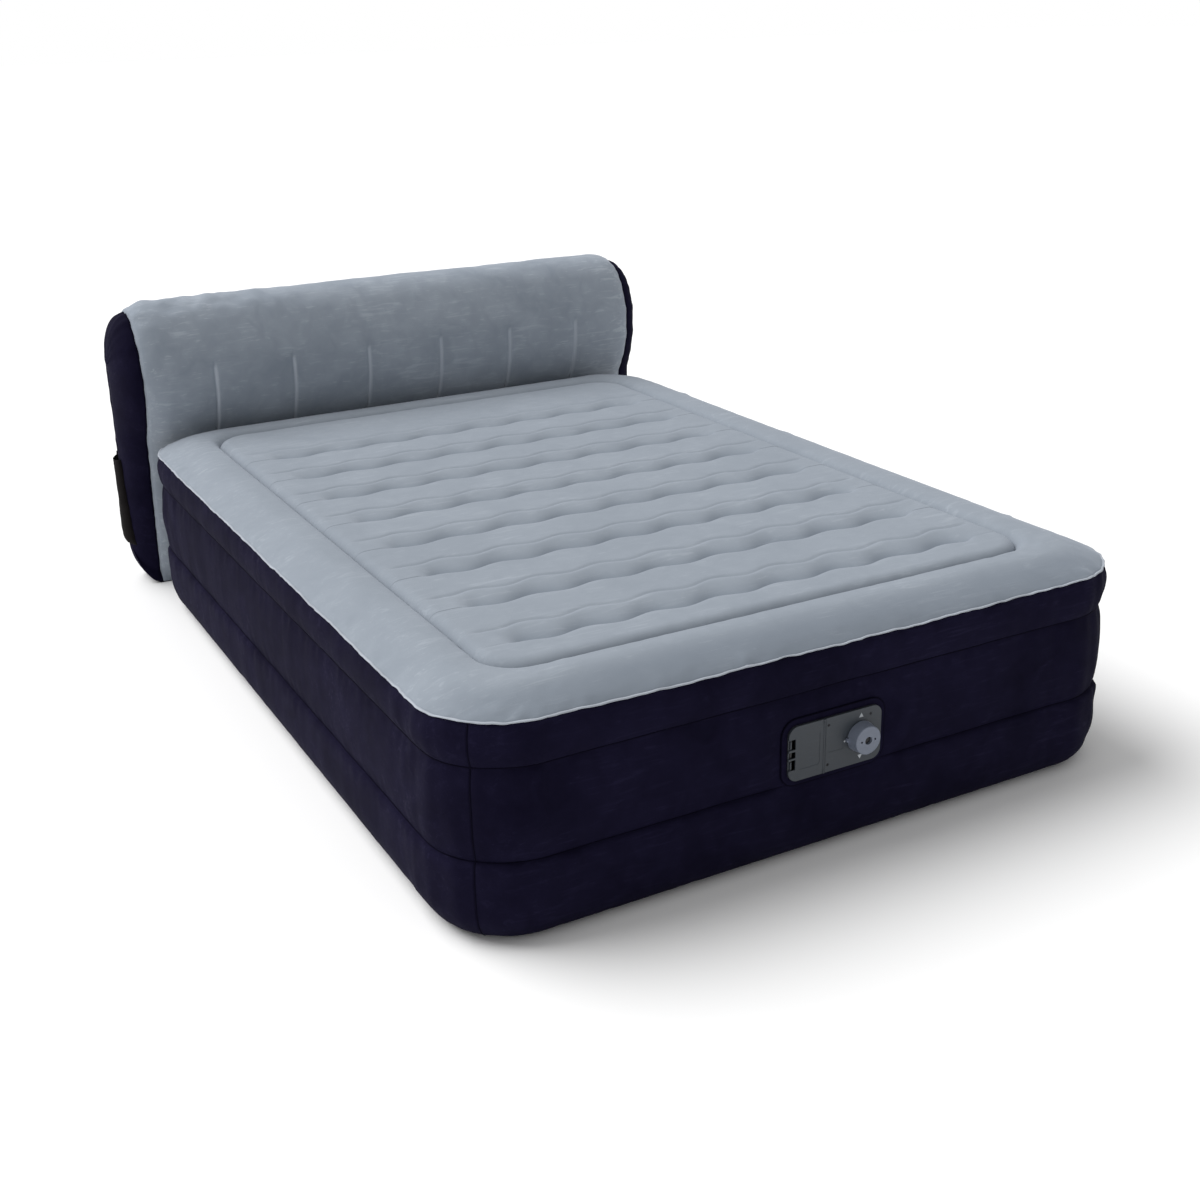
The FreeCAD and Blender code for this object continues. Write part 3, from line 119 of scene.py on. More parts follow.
class Graph:
    """One material's node tree."""

    def __init__(self, name: str) -> None:
        """Makes the material with its Principled shader.

        Args:
            name: The material's name.
        """
        self.material = bpy.data.materials.new(name)
        self.material.use_nodes = True
        self.tree = self.material.node_tree
        self.shader = self.tree.nodes["Principled BSDF"]

    def add(self, kind: str, settings: dict | None = None, inputs: dict | None = None,
            output: str | int = 0) -> Value:
        """Adds a node: its settings first, then the values or links of its sockets.

        Args:
            kind: The node's type.
            settings: Its properties, or "stops" for a colour ramp's (position, colour) pairs.
            inputs: A number, a vector or a Value for each socket, by name or index.
            output: The output that the result reads.

        Returns:
            The output as a Value.
        """
        node = self.tree.nodes.new(kind)
        for name, value in (settings or {}).items():
            setattr(node, name, value)
        for name, value in (inputs or {}).items():
            self.feed(node.inputs[name], value)
        return Value(self, node.outputs[output])

    def feed(self, socket: bpy.types.NodeSocket, value: "Value | float | Sequence[float]") -> None:
        """Links a Value to a socket, or sets the socket's own number or vector.

        Args:
            socket: The socket.
            value: A Value to link, or the socket's own number or vector.
        """
        if isinstance(value, Value):
            self.tree.links.new(value.socket, socket)
        else:
            socket.default_value = value

    def set(self, **values: "Value | float | Sequence[float]") -> None:
        """Feeds the shader's sockets, whose names are written with underscores."""
        for name, value in values.items():
            self.feed(self.shader.inputs[name.replace("_", " ")], value)

    def place(self, turn: Colour = (0.0, 0.0, 0.0), scale: Colour = (1.0, 1.0, 1.0)) -> Value:
        """The object's own coordinates in metres, turned and stretched."""
        where = self.add("ShaderNodeTexCoord", output="Object")
        return self.add("ShaderNodeMapping", None, {"Vector": where, "Rotation": turn, "Scale": scale})

    def noise(self, where: Value, scale: float, detail: float = 2.0, distortion: float = 0.0) -> Value:
        """Soft noise between 0 and 1, centred on a half."""
        return self.add("ShaderNodeTexNoise", None, {"Vector": where, "Scale": scale, "Detail": detail,
                                                     "Distortion": distortion})

    def blend(self, amount: Value, low: Colour | Value, high: Colour | Value) -> Value:
        """A colour between two, by an amount."""
        ends = [(*c, 1.0) if isinstance(c, tuple) else c for c in (low, high)]
        return self.add("ShaderNodeMix", {"data_type": "RGBA"}, {0: amount, 6: ends[0], 7: ends[1]}, 2)

    def bump(self, height: Value, distance: float, strength: float = 1.0) -> None:
        """Feeds the shader's normal with a height in shares of a distance in metres."""
        normal = self.add("ShaderNodeBump", None, {"Height": height, "Distance": distance,
                                                   "Strength": strength})
        self.set(Normal=normal)


class Lay(Enum):
    """Which way the brushed marks in a pile mostly run, as the turn of their long axis."""

    ALONG_BED = (0.35, 0.2, 1.35)
    ACROSS_WALLS = (0.5, 0.9, 0.75)
    UPRIGHT = (0.25, 1.35, 0.4)


# ---------------------------------------------------------------- finishes
@dataclass(frozen=True)
class Flock:
    """Flocked vinyl: a short velvety pile with soft patches, brushed marks, crushed seams and painted shade."""

    name: str
    dark: Colour
    light: Colour
    lay: Lay
    marks: float = 0.5
    patches: float = 0.5
    sheen: float = 0.3
    sheen_tint: Colour = (0.7, 0.75, 0.85)
    seam_and_shade_colour: Colour = (0.5, 0.54, 0.6)
    gloss: float = 0.2
    worn_ends: float = 0.0
    pile: float = 1400.0

    def build(self) -> bpy.types.Material:
        """Makes the material.

        Returns:
            The finished material.
        """
        graph = Graph(self.name)
        where = graph.place()
        broad = graph.noise(where, 5.0, 3.0, 0.6)
        cloudy = graph.noise(where, 21.0, 4.0, 0.8)
        strokes = self._strokes(graph, self.lay.value, 9.0)
        crossing = self._strokes(graph, tuple(0.8 - turn for turn in self.lay.value), 14.0)
        fuzz = graph.noise(where, self.pile, 2.0)
        thin = graph.place(tuple(turn + 0.9 for turn in self.lay.value), (1.0, 15.0, 15.0))
        scratches = graph.noise(thin, 17.0, 2.0, 0.5).over(0.64, 0.72) * cloudy.over(0.44, 0.56)
        brushed = strokes * broad.over(0.42, 0.62) + crossing * cloudy.over(0.5, 0.64) * 0.7
        brushed = (brushed + scratches * 0.8).clamped()
        if self.worn_ends:
            across = graph.add("ShaderNodeSeparateXYZ", None, {0: where})
            away = graph.add("ShaderNodeMath", {"operation": "ABSOLUTE"}, {0: across})
            brushed = (brushed * (1.0 + away.over(0.42, 0.66) * self.worn_ends)).clamped()
        tone = 0.5 + (broad - 0.5) * self.patches * 1.6 + (cloudy - 0.5) * self.patches
        tone = tone + brushed * self.marks + (fuzz - 0.5) * 0.25
        colour = graph.blend(tone.clamped(), self.dark, self.light)
        # The seam attribute blends towards the seam and shade colour: crushed pile along the headboard's welds,
        # painted shade in the quilt's valleys and on the rim's foot-facing slope.
        seam = graph.add("ShaderNodeAttribute", {"attribute_name": "seam"}, output="Fac")
        colour = graph.blend(seam.clamped(), colour, self.seam_and_shade_colour)
        graph.set(Base_Color=colour, Roughness=(0.94 - brushed * 0.12 - seam * 0.25).clamped(),
                  Sheen_Weight=self.sheen, Sheen_Roughness=0.42, Sheen_Tint=(*self.sheen_tint, 1.0),
                  Specular_IOR_Level=self.gloss)
        graph.bump(fuzz * 0.7 + cloudy * 1.6 + brushed * 0.5, 0.5 * MILLIMETRE, 0.55)
        return graph.material

    def _strokes(self, graph: Graph, turn: Colour, reach: float) -> Value:
        """Thin curved marks where the pile was brushed the other way.

        Args:
            graph: The material's graph.
            turn: The turn of the marks' long axis.
            reach: How quickly the marks change along their length.

        Returns:
            The marks, from 0 to 1.
        """
        stretched = graph.place(turn, (1.0, 9.0, 9.0))
        return graph.noise(stretched, reach, 3.0, 0.9).over(0.56, 0.7)


@dataclass(frozen=True)
class Film:
    """Plain vinyl film or a welded strip: smooth, with a faint calendered grain."""

    name: str
    colour: Colour
    grain: float = 420.0
    roughness: float = 0.5
    gloss: float = 0.4

    def build(self) -> bpy.types.Material:
        """Makes the material.

        Returns:
            The finished material.
        """
        graph = Graph(self.name)
        where = graph.place()
        grain = graph.noise(where, self.grain, 3.0)
        cloudy = graph.noise(where, 12.0, 3.0, 0.5)
        dark = tuple(0.82 * channel for channel in self.colour)
        light = tuple(1.15 * channel for channel in self.colour)
        graph.set(Base_Color=graph.blend(cloudy.over(0.3, 0.7), dark, light),
                  Roughness=self.roughness + grain * 0.2, Specular_IOR_Level=self.gloss)
        graph.bump(grain + cloudy, 0.25 * MILLIMETRE, 0.6)
        return graph.material


@dataclass(frozen=True)
class Moulded:
    """Moulded plastic with spark-eroded grain, faint flow marks and a worn sheen."""

    name: str
    colour: Colour
    roughness: float = 0.46
    grain: float = 1900.0
    depth: float = 0.12

    def build(self) -> bpy.types.Material:
        """Makes the material.

        Returns:
            The finished material.
        """
        graph = Graph(self.name)
        where = graph.place()
        grain = graph.noise(where, self.grain, 3.0)
        flow = graph.noise(graph.place((0.2, 0.3, 0.5), (1.0, 1.0, 3.0)), 26.0, 4.0, 0.7)
        scuffs = graph.noise(graph.place((0.4, 0.9, 0.2), (1.0, 14.0, 14.0)), 40.0, 3.0, 0.4).over(0.6, 0.72)
        dark = tuple(0.86 * channel for channel in self.colour)
        light = tuple(1.14 * channel + 0.004 for channel in self.colour)
        tone = (flow * 0.8 + grain * 0.35 + scuffs * 0.35 - 0.1).clamped()
        graph.set(Base_Color=graph.blend(tone, dark, light),
                  Roughness=(self.roughness + (flow - 0.5) * 0.16 - scuffs * 0.1).clamped())
        graph.bump(grain + scuffs * 0.3, self.depth * MILLIMETRE, 0.7)
        return graph.material


@dataclass(frozen=True)
class Metal:
    """Turned or plated metal with fine tool lines."""

    name: str
    colour: Colour
    roughness: float = 0.32

    def build(self) -> bpy.types.Material:
        """Makes the material.

        Returns:
            The finished material.
        """
        graph = Graph(self.name)
        lines = graph.noise(graph.place((0.0, 0.0, 0.0), (1.0, 30.0, 1.0)), 300.0, 2.0)
        stains = graph.noise(graph.place(), 160.0, 4.0, 0.5)
        dark = tuple(0.7 * channel for channel in self.colour)
        graph.set(Base_Color=graph.blend(stains.over(0.35, 0.65), dark, self.colour), Metallic=1.0,
                  Roughness=(self.roughness + lines * 0.18 + stains * 0.1).clamped())
        graph.bump(lines, 0.05 * MILLIMETRE, 0.5)
        return graph.material


@dataclass(frozen=True)
class Woven:
    """Coarse plain-woven cloth."""

    name: str
    dark: Colour
    light: Colour
    threads: float = 620.0

    def build(self) -> bpy.types.Material:
        """Makes the material.

        Returns:
            The finished material.
        """
        graph = Graph(self.name)
        where = graph.place()
        waves = [graph.add("ShaderNodeTexWave", {"bands_direction": axis},
                           {"Vector": where, "Scale": self.threads / 2, "Distortion": 0.4, "Detail": 1.0},
                           "Fac") for axis in ("Y", "Z")]
        weave = waves[0] * waves[1]
        worn = graph.noise(where, 30.0, 4.0, 0.4)
        graph.set(Base_Color=graph.blend((weave * 0.7 + worn * 0.5).clamped(), self.dark, self.light),
                  Roughness=0.92 - weave * 0.15, Specular_IOR_Level=0.1)
        graph.bump(weave + worn * 0.5, 0.3 * MILLIMETRE, 0.8)
        return graph.material


@dataclass(frozen=True)
class Studio:
    """The pale floor's material."""

    name: str = "studio_floor"
    colour: Colour = (0.95, 0.95, 0.95)

    def build(self) -> bpy.types.Material:
        """Makes the floor's material.

        Returns:
            The finished material.
        """
        graph = Graph(self.name)
        mottle = graph.noise(graph.place(), 2.0, 2.0)
        light = tuple(1.01 * channel for channel in self.colour)
        graph.set(Base_Color=graph.blend(mottle, self.colour, light), Roughness=0.8)
        return graph.material


# The top's seam and shade colour is a darker grey, used as painted shade in the quilt's valleys and on the
# rim's foot-facing slope.
GREY_FLOCK = Flock("grey_flock_top", (0.204, 0.233, 0.272), (0.300, 0.334, 0.378), Lay.ALONG_BED, 0.42, 0.34,
                   0.32, seam_and_shade_colour=(0.135, 0.163, 0.202))
GREY_UPRIGHT = Flock("grey_flock_headboard", (0.202, 0.235, 0.280), (0.350, 0.389, 0.441), Lay.UPRIGHT, 0.42,
                     0.6, 0.32, worn_ends=1.0)
NAVY_FLOCK = Flock("navy_flock_walls", (0.0022, 0.0016, 0.0080), (0.0098, 0.0083, 0.0262), Lay.ACROSS_WALLS,
                   0.38, 0.6, 0.012, (0.3, 0.3, 0.6), (0.02, 0.02, 0.04), 0.06)
LIGHT_WELT = Film("grey_weld_lip", (0.36, 0.39, 0.44))
NAVY_WELD = Film("navy_weld", (0.0034, 0.0027, 0.0095), 520.0, 0.8, 0.04)
FLOOR_VINYL = Film("floor_vinyl_sheet", (0.012, 0.012, 0.022), 300.0, 0.6)
INNER_FILM = Film("inner_film_web", (0.3, 0.32, 0.35), 420.0, 0.45)
POCKET_CLOTH = Woven("pocket_cloth_weave", (0.0035, 0.0028, 0.003), (0.014, 0.0115, 0.0125))
PLATE_PLASTIC = Moulded("plate_plastic_grain", (0.026, 0.033, 0.043), 0.5)
KNOB_PLASTIC = Moulded("knob_plastic_satin", (0.150, 0.172, 0.225), 0.42, 2300.0, 0.06)
HOUSING_PLASTIC = Moulded("housing_plastic_grain", (0.014, 0.014, 0.016), 0.5, 900.0)
SOFT_RUBBER = Film("soft_black_rubber", (0.011, 0.011, 0.013), 900.0, 0.7)
STEEL = Metal("zinc_plated_steel", (0.5, 0.5, 0.52))
BLACK_STEEL = Metal("blackened_steel", (0.05, 0.05, 0.055), 0.45)
BRASS = Metal("turned_brass", (0.62, 0.45, 0.2), 0.28)
PALE_PRINT = Film("pale_print", (0.42, 0.45, 0.48), 900.0, 0.6)


# ---------------------------------------------------------------- shapes in a plane
def smooth(share: float) -> float:
    """A soft step: 0 below 0, 1 above 1 and level at both ends."""
    held = min(1.0, max(0.0, share))
    return held * held * (3.0 - 2.0 * held)


def bell(distance: float, width: float) -> float:
    """1 at no distance, fading within about twice a width."""
    return math.exp(-(distance / width) ** 2)


def crowded(count: int) -> list[float]:
    """Shares from 0 to 1 that crowd towards both ends, without the 0."""
    return [(1.0 - math.cos(math.pi * step / count)) / 2.0 for step in range(1, count + 1)]


def even(count: int) -> list[float]:
    """Evenly spaced shares from 0 to 1, without the 0."""
    return [step / count for step in range(1, count + 1)]


def swell(start: Point, end: Point, rise: float, count: int, fullness: float = 2.4) -> list[Point]:
    """Points on a swollen band between two pinched edges, one above the other.

    Args:
        start: The first edge, as (outwards, up).
        end: The second edge.
        rise: How far the band stands out between them.
        count: How many points follow the first edge.
        fullness: 2 for a parabola, more for a flatter band with tighter edges.

    Returns:
        The points after start, with end.
    """
    points = []
    for share in crowded(count):
        bulge = rise * (1.0 - abs(2.0 * share - 1.0) ** fullness)
        points.append((start[0] + (end[0] - start[0]) * share + bulge,
                       start[1] + (end[1] - start[1]) * share))
    return points


def beside(peak: Point, foot: Point, count: int) -> list[Point]:
    """Points on the arc that runs straight up at a peak, ending at a foot above or below it.

    Args:
        peak: The end where the arc runs straight up.
        foot: The other end, above or below it.
        count: How many points follow the peak.

    Returns:
        The points after the peak, with the foot.
    """
    across, rise = foot[0] - peak[0], foot[1] - peak[1]
    radius = (across * across + rise * rise) / (2.0 * abs(across))
    sign = math.copysign(1.0, across)
    whole = math.asin(rise / radius)
    return [(peak[0] + sign * radius * (1.0 - math.cos(whole * share)),
             peak[1] + radius * math.sin(whole * share)) for share in even(count)]


def along_ridge(peak: Point, foot: Point, count: int) -> list[Point]:
    """Points on the arc that runs level at a ridge, ending at a foot beside it.

    Args:
        peak: The end where the arc runs level.
        foot: The other end, beside and below it.
        count: How many points follow the peak.

    Returns:
        The points after the peak, with the foot.
    """
    across, drop = foot[0] - peak[0], peak[1] - foot[1]
    radius = (across * across + drop * drop) / (2.0 * drop)
    whole = math.asin(across / radius)
    return [(peak[0] + radius * math.sin(whole * share), peak[1] - radius * (1.0 - math.cos(whole * share)))
            for share in even(count)]


def straight(start: Point, end: Point, count: int) -> list[Point]:
    """Points on a straight run, without its start."""
    return [(start[0] + (end[0] - start[0]) * share, start[1] + (end[1] - start[1]) * share)
            for share in even(count)]


def backwards(start: Point, points: list[Point]) -> list[Point]:
    """The same run from its end to its start, without the end."""
    return [*reversed(points[:-1]), start]


# ---------------------------------------------------------------- meshes
def chain(mesh: bmesh.types.BMesh, points: Iterable[Vector], closed: bool = False) -> list:
    """Draws an open or closed line of vertices and edges.

    Args:
        mesh: The mesh that gets them.
        points: The places in order.
        closed: Whether the last joins the first.

    Returns:
        The vertices and edges, for an extrusion or a spin.
    """
    verts = [mesh.verts.new(point) for point in points]
    pairs = list(zip(verts, verts[1:]))
    if closed:
        pairs.append((verts[-1], verts[0]))
    return verts + [mesh.edges.new(pair) for pair in pairs]


def turned(mesh: bmesh.types.BMesh, geometry: list, centre: Vector, angle: float, steps: int) -> list:
    """Spins a line about an upright axis and gives the line at the far end."""
    made = bmesh.ops.spin(mesh, geom=geometry, cent=centre, axis=UP, dvec=Vector(), angle=angle, steps=steps,
                          use_merge=False, use_duplicate=False)
    return made["geom_last"]


def carried(mesh: bmesh.types.BMesh, geometry: list, whole: Vector, steps: int) -> list:
    """Extrudes a line straight along a vector in equal steps and gives the line at the far end."""
    made = bmesh.ops.spin(mesh, geom=geometry, cent=Vector(), axis=UP, dvec=whole / steps, angle=0.0,
                          steps=steps, use_merge=False, use_duplicate=False)
    return made["geom_last"]


def face_outwards(mesh: bmesh.types.BMesh, centre: Vector) -> None:
    """Makes a skin's faces point away from a centre that it lies around.

    Args:
        mesh: The skin.
        centre: A place that the skin lies around.
    """
    bmesh.ops.recalc_face_normals(mesh, faces=mesh.faces)
    mesh.normal_update()
    outward = sum(face.normal.dot(face.calc_center_median() - centre) * face.calc_area()
                  for face in mesh.faces)
    if outward < 0.0:
        bmesh.ops.reverse_faces(mesh, faces=mesh.faces)


def pushed(mesh: bmesh.types.BMesh, move: Callable[[Vector], Vector]) -> None:
    """Moves each vertex to where a function of its place says."""
    for vertex in mesh.verts:
        vertex.co = move(vertex.co)


def ripple(place: Vector, scale: tuple[float, float, float], seed: float = 0.0) -> float:
    """Smooth noise from -1 to 1 with its own wavelength in metres along each axis."""
    return noise.noise(Vector((place.x / scale[0] + seed, place.y / scale[1] + seed,
                               place.z / scale[2] - seed)))


def finish_mesh(mesh: bmesh.types.BMesh, name: str, seam: Callable[[Vector], float] | None = None,
                smooth_faces: bool = True) -> bpy.types.Object:
    """Turns a bmesh into an object, with its crushed seams and its painted shade as one attribute.

    Args:
        mesh: The finished bmesh, which is freed.
        name: The piece's name.
        seam: How far a place blends to the seam and shade colour, from 0 to 1: crushed pile on welds, painted
            shade in valleys and on foot-facing slopes.
        smooth_faces: Whether the shading is smooth.

    Returns:
        The object, linked to the scene.
    """
    for face in mesh.faces:
        face.smooth = smooth_faces
    data = bpy.data.meshes.new(name)
    mesh.to_mesh(data)
    mesh.free()
    if seam:
        shares = data.attributes.new("seam", "FLOAT", "POINT")
        shares.data.foreach_set("value", [seam(vertex.co) for vertex in data.vertices])
    piece = bpy.data.objects.new(name, data)
    bpy.context.scene.collection.objects.link(piece)
    return piece


def thicken(piece: bpy.types.Object, thickness: float) -> None:
    """Gives a skin its thickness, inwards.

    Args:
        piece: The skin.
        thickness: The skin's thickness in metres.
    """
    wall = piece.modifiers.new("skin", "SOLIDIFY")
    wall.thickness = thickness
    wall.offset = -1.0
    wall.use_even_offset = False


def bead(points: Sequence[Vector], radius: float, name: str, closed: bool = True) -> bpy.types.Object:
    """A thin welded bead along a line of points.

    Args:
        points: The line in metres.
        radius: Half of the bead's width.
        name: The piece's name.
        closed: Whether the line closes on itself.

    Returns:
        The bead as a mesh object.
    """
    line = bpy.data.curves.new(name + "_line", "CURVE")
    line.dimensions = "3D"
    line.bevel_depth = radius
    line.bevel_resolution = 1
    line.use_fill_caps = not closed
    spline = line.splines.new("POLY")
    spline.points.add(len(points) - 1)
    for target, point in zip(spline.points, points):
        target.co = (*point, 1.0)
    spline.use_cyclic_u = closed
    guide = bpy.data.objects.new(name + "_guide", line)
    bpy.context.scene.collection.objects.link(guide)
    data = bpy.data.meshes.new_from_object(guide.evaluated_get(bpy.context.evaluated_depsgraph_get()))
    bpy.data.objects.remove(guide)
    bpy.data.curves.remove(line)
    mesh = bmesh.new()
    mesh.from_mesh(data)
    bpy.data.meshes.remove(data)
    bmesh.ops.recalc_face_normals(mesh, faces=mesh.faces)
    return finish_mesh(mesh, name)


class Shop:
    """Dresses finished pieces and sets them on the frame."""

    def __init__(self) -> None:
        """Starts with no material made."""
        self.materials: dict[str, bpy.types.Material] = {}
        self.pieces = 0

    def material(self, finish: Flock | Film | Moulded | Metal | Woven) -> bpy.types.Material:
        """The finish's material, made once."""
        if finish.name not in self.materials:
            self.materials[finish.name] = finish.build()
        return self.materials[finish.name]

    def place(self, piece: bpy.types.Object, finish: Flock | Film | Moulded | Metal | Woven, slot: str,
              body: str = ROOT, replaces: tuple[str, ...] = (),
              fill: float | None = None) -> bpy.types.Object:
        """Gives a piece its material and its body, and hides the CAD nodes that it stands for.

        Args:
            piece: The piece, already where it belongs.
            finish: Its finish.
            slot: The record's material slot; not used.
            body: The body that it moves with.
            replaces: The CAD nodes that it stands for.
            fill: How tight a padded piece is, or None for a piece that isn't padded; not used.

        Returns:
            The same piece.
        """
        piece.data.materials.append(self.material(finish))
        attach(piece, body)
        if replaces:
            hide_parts(*replaces)
        self.pieces += 1
        LOG.info("%s: %d faces on %s", piece.name, len(piece.data.polygons), body)
        return piece

    def dress(self, nodes: Iterable[str], finish: Flock | Film | Moulded | Metal | Woven) -> None:
        """Gives carried-over nodes a finish.

        Args:
            nodes: The nodes' names.
            finish: Their finish.
        """
        for name in nodes:
            node = frame["nodes"][name]
            node.data.materials.clear()
            node.data.materials.append(self.material(finish))
            LOG.info("%s: dressed as %s", name, finish.name)


# ---------------------------------------------------------------- mattress
@dataclass
class Outline:
    """The mattress's rounded outline seen from above, and how its seam wanders."""

    lip: float = 0.004
    radius: float = 0.160
    seam: float = 0.430
    half_width: float = field(init=False)
    foot: float = field(init=False)
    head: float = field(init=False)

    def __post_init__(self) -> None:
        """Reads the outline's place from the top sheet."""
        low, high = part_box("top_sheet")
        self.half_width = high[0] - self.lip
        self.foot = low[1] + self.lip
        self.head = high[1] - self.lip

    @property
    def middle(self) -> float:
        """The outline's middle along the bed."""
        return (self.foot + self.head) / 2.0

    @property
    def half_length(self) -> float:
        """Half of the outline's length."""
        return (self.head - self.foot) / 2.0

    def corner(self, index: int) -> Vector:
        """The centre of a corner's arc, counted round from the foot's left.

        Args:
            index: The corner's number, taken modulo 4.

        Returns:
            The arc's centre at floor level.
        """
        across = (-1.0, 1.0, 1.0, -1.0)[index % 4] * (self.half_width - self.radius)
        along = (-1.0, -1.0, 1.0, 1.0)[index % 4] * (self.half_length - self.radius)
        return Vector((across, self.middle + along, 0.0))

    def at_corner(self, index: int, profile: Profile) -> list[Vector]:
        """A profile stood at the middle of a corner.

        Args:
            index: The corner, counted round from the foot's left.
            profile: Its points, as (outwards, up).

        Returns:
            The points in place.
        """
        angle = math.radians(90.0 * index - 135.0)
        outward = Vector((math.cos(angle), math.sin(angle), 0.0))
        return [self.corner(index) + outward * (self.radius + out) + UP * up for out, up in profile]

    def sweep(self, mesh: bmesh.types.BMesh, profile: Profile, sides: Sequence[int], spacing: float,
              closed: bool = False) -> None:
        """Carries a profile along some sides, from corner middle to corner middle.

        Args:
            mesh: The mesh that gets the skin.
            profile: The points, as (outwards, up).
            sides: The sides in order, 0 at the foot.
            spacing: The distance between the stations on the straights.
            closed: Whether the profile is a loop.
        """
        geometry = chain(mesh, self.at_corner(sides[0], profile), closed)
        turns = round(self.radius * math.pi / 4.0 / (0.7 * spacing))
        for side in sides:
            run = self.corner(side + 1) - self.corner(side)
            geometry = turned(mesh, geometry, self.corner(side), math.pi / 4.0, turns)
            geometry = carried(mesh, geometry, run, round(run.length / spacing))
            geometry = turned(mesh, geometry, self.corner(side + 1), math.pi / 4.0, turns)
        bmesh.ops.remove_doubles(mesh, verts=mesh.verts, dist=SAME_POINT)

    def locate(self, place: Vector) -> tuple[Vector, float, float]:
        """Where a place lies against the outline.

        Args:
            place: The place.

        Returns:
            The outward direction, the distance outside, and how near a corner it is, from 0 to 1.
        """
        side = math.copysign(1.0, place.x)
        end = math.copysign(1.0, place.y - self.middle)
        across = abs(place.x) - self.half_width + self.radius
        along = abs(place.y - self.middle) - self.half_length + self.radius
        if across > 0.0 and along > 0.0:
            outward = Vector((side * across, end * along, 0.0)).normalized()
            return outward, math.hypot(across, along) - self.radius, 1.0
        if across >= along:
            return Vector((side, 0.0, 0.0)), across - self.radius, bell(along, 0.09)
        return Vector((0.0, end, 0.0)), along - self.radius, bell(across, 0.09)

    def seam_shift(self, place: Vector, direction: Vector, corner: float) -> Vector:
        """How the top seam wanders from its line at a place, for every skin that meets it.

        Args:
            place: The place.
            direction: The outward direction there.
            corner: How near a corner it is, from 0 to 1.

        Returns:
            How far the place moves.
        """
        flat = Vector((place.x, place.y, 0.0))
        near = bell(place.z - self.seam, 0.013)
        out = 0.0014 * ripple(flat, (0.021, 0.021, 1.0), 4.0) + 0.0022 * ripple(flat, (0.12, 0.12, 1.0), 9.0)
        up = 0.0021 * ripple(flat, (0.030, 0.030, 1.0), 17.0) + 0.0030 * ripple(flat, (0.13, 0.13, 1.0), 23.0)
        nick = max(0.0, ripple(flat, (0.055, 0.055, 1.0), 31.0) - 0.36) * 0.016
        sag = 0.0045 * max(0.0, 1.0 - (place.x / 0.62) ** 2) * max(0.0, -direction.y)
        return (direction * (out * (1.0 + corner)) + UP * (up + nick - sag)) * near

    def tighten(self, place: Vector, share: float) -> Vector:
        """Moves a place inside the outline so that an inner line keeps a rounder corner.

        Args:
            place: The place, swept about the outline's own corner centres.
            share: How much larger the corner's arc becomes for each metre of inset.

        Returns:
            The new place.
        """
        direction, out, _ = self.locate(place)
        inset = max(0.0, -out)
        extra = inset * share
        side = math.copysign(1.0, place.x)
        end = math.copysign(1.0, place.y - self.middle)
        across = abs(place.x) - self.half_width + self.radius
        along = abs(place.y - self.middle) - self.half_length + self.radius
        new = place.copy()
        if across > 0.0 and along > 0.0:
            reach = direction * extra
            new.x = place.x + reach.x - side * extra
            new.y = place.y + reach.y - end * extra
        elif across >= along:
            straight_run = self.half_length - self.radius
            new.y = self.middle + (place.y - self.middle) * (straight_run - extra) / straight_run
        else:
            straight_run = self.half_width - self.radius
            new.x = place.x * (straight_run - extra) / straight_run
        return new


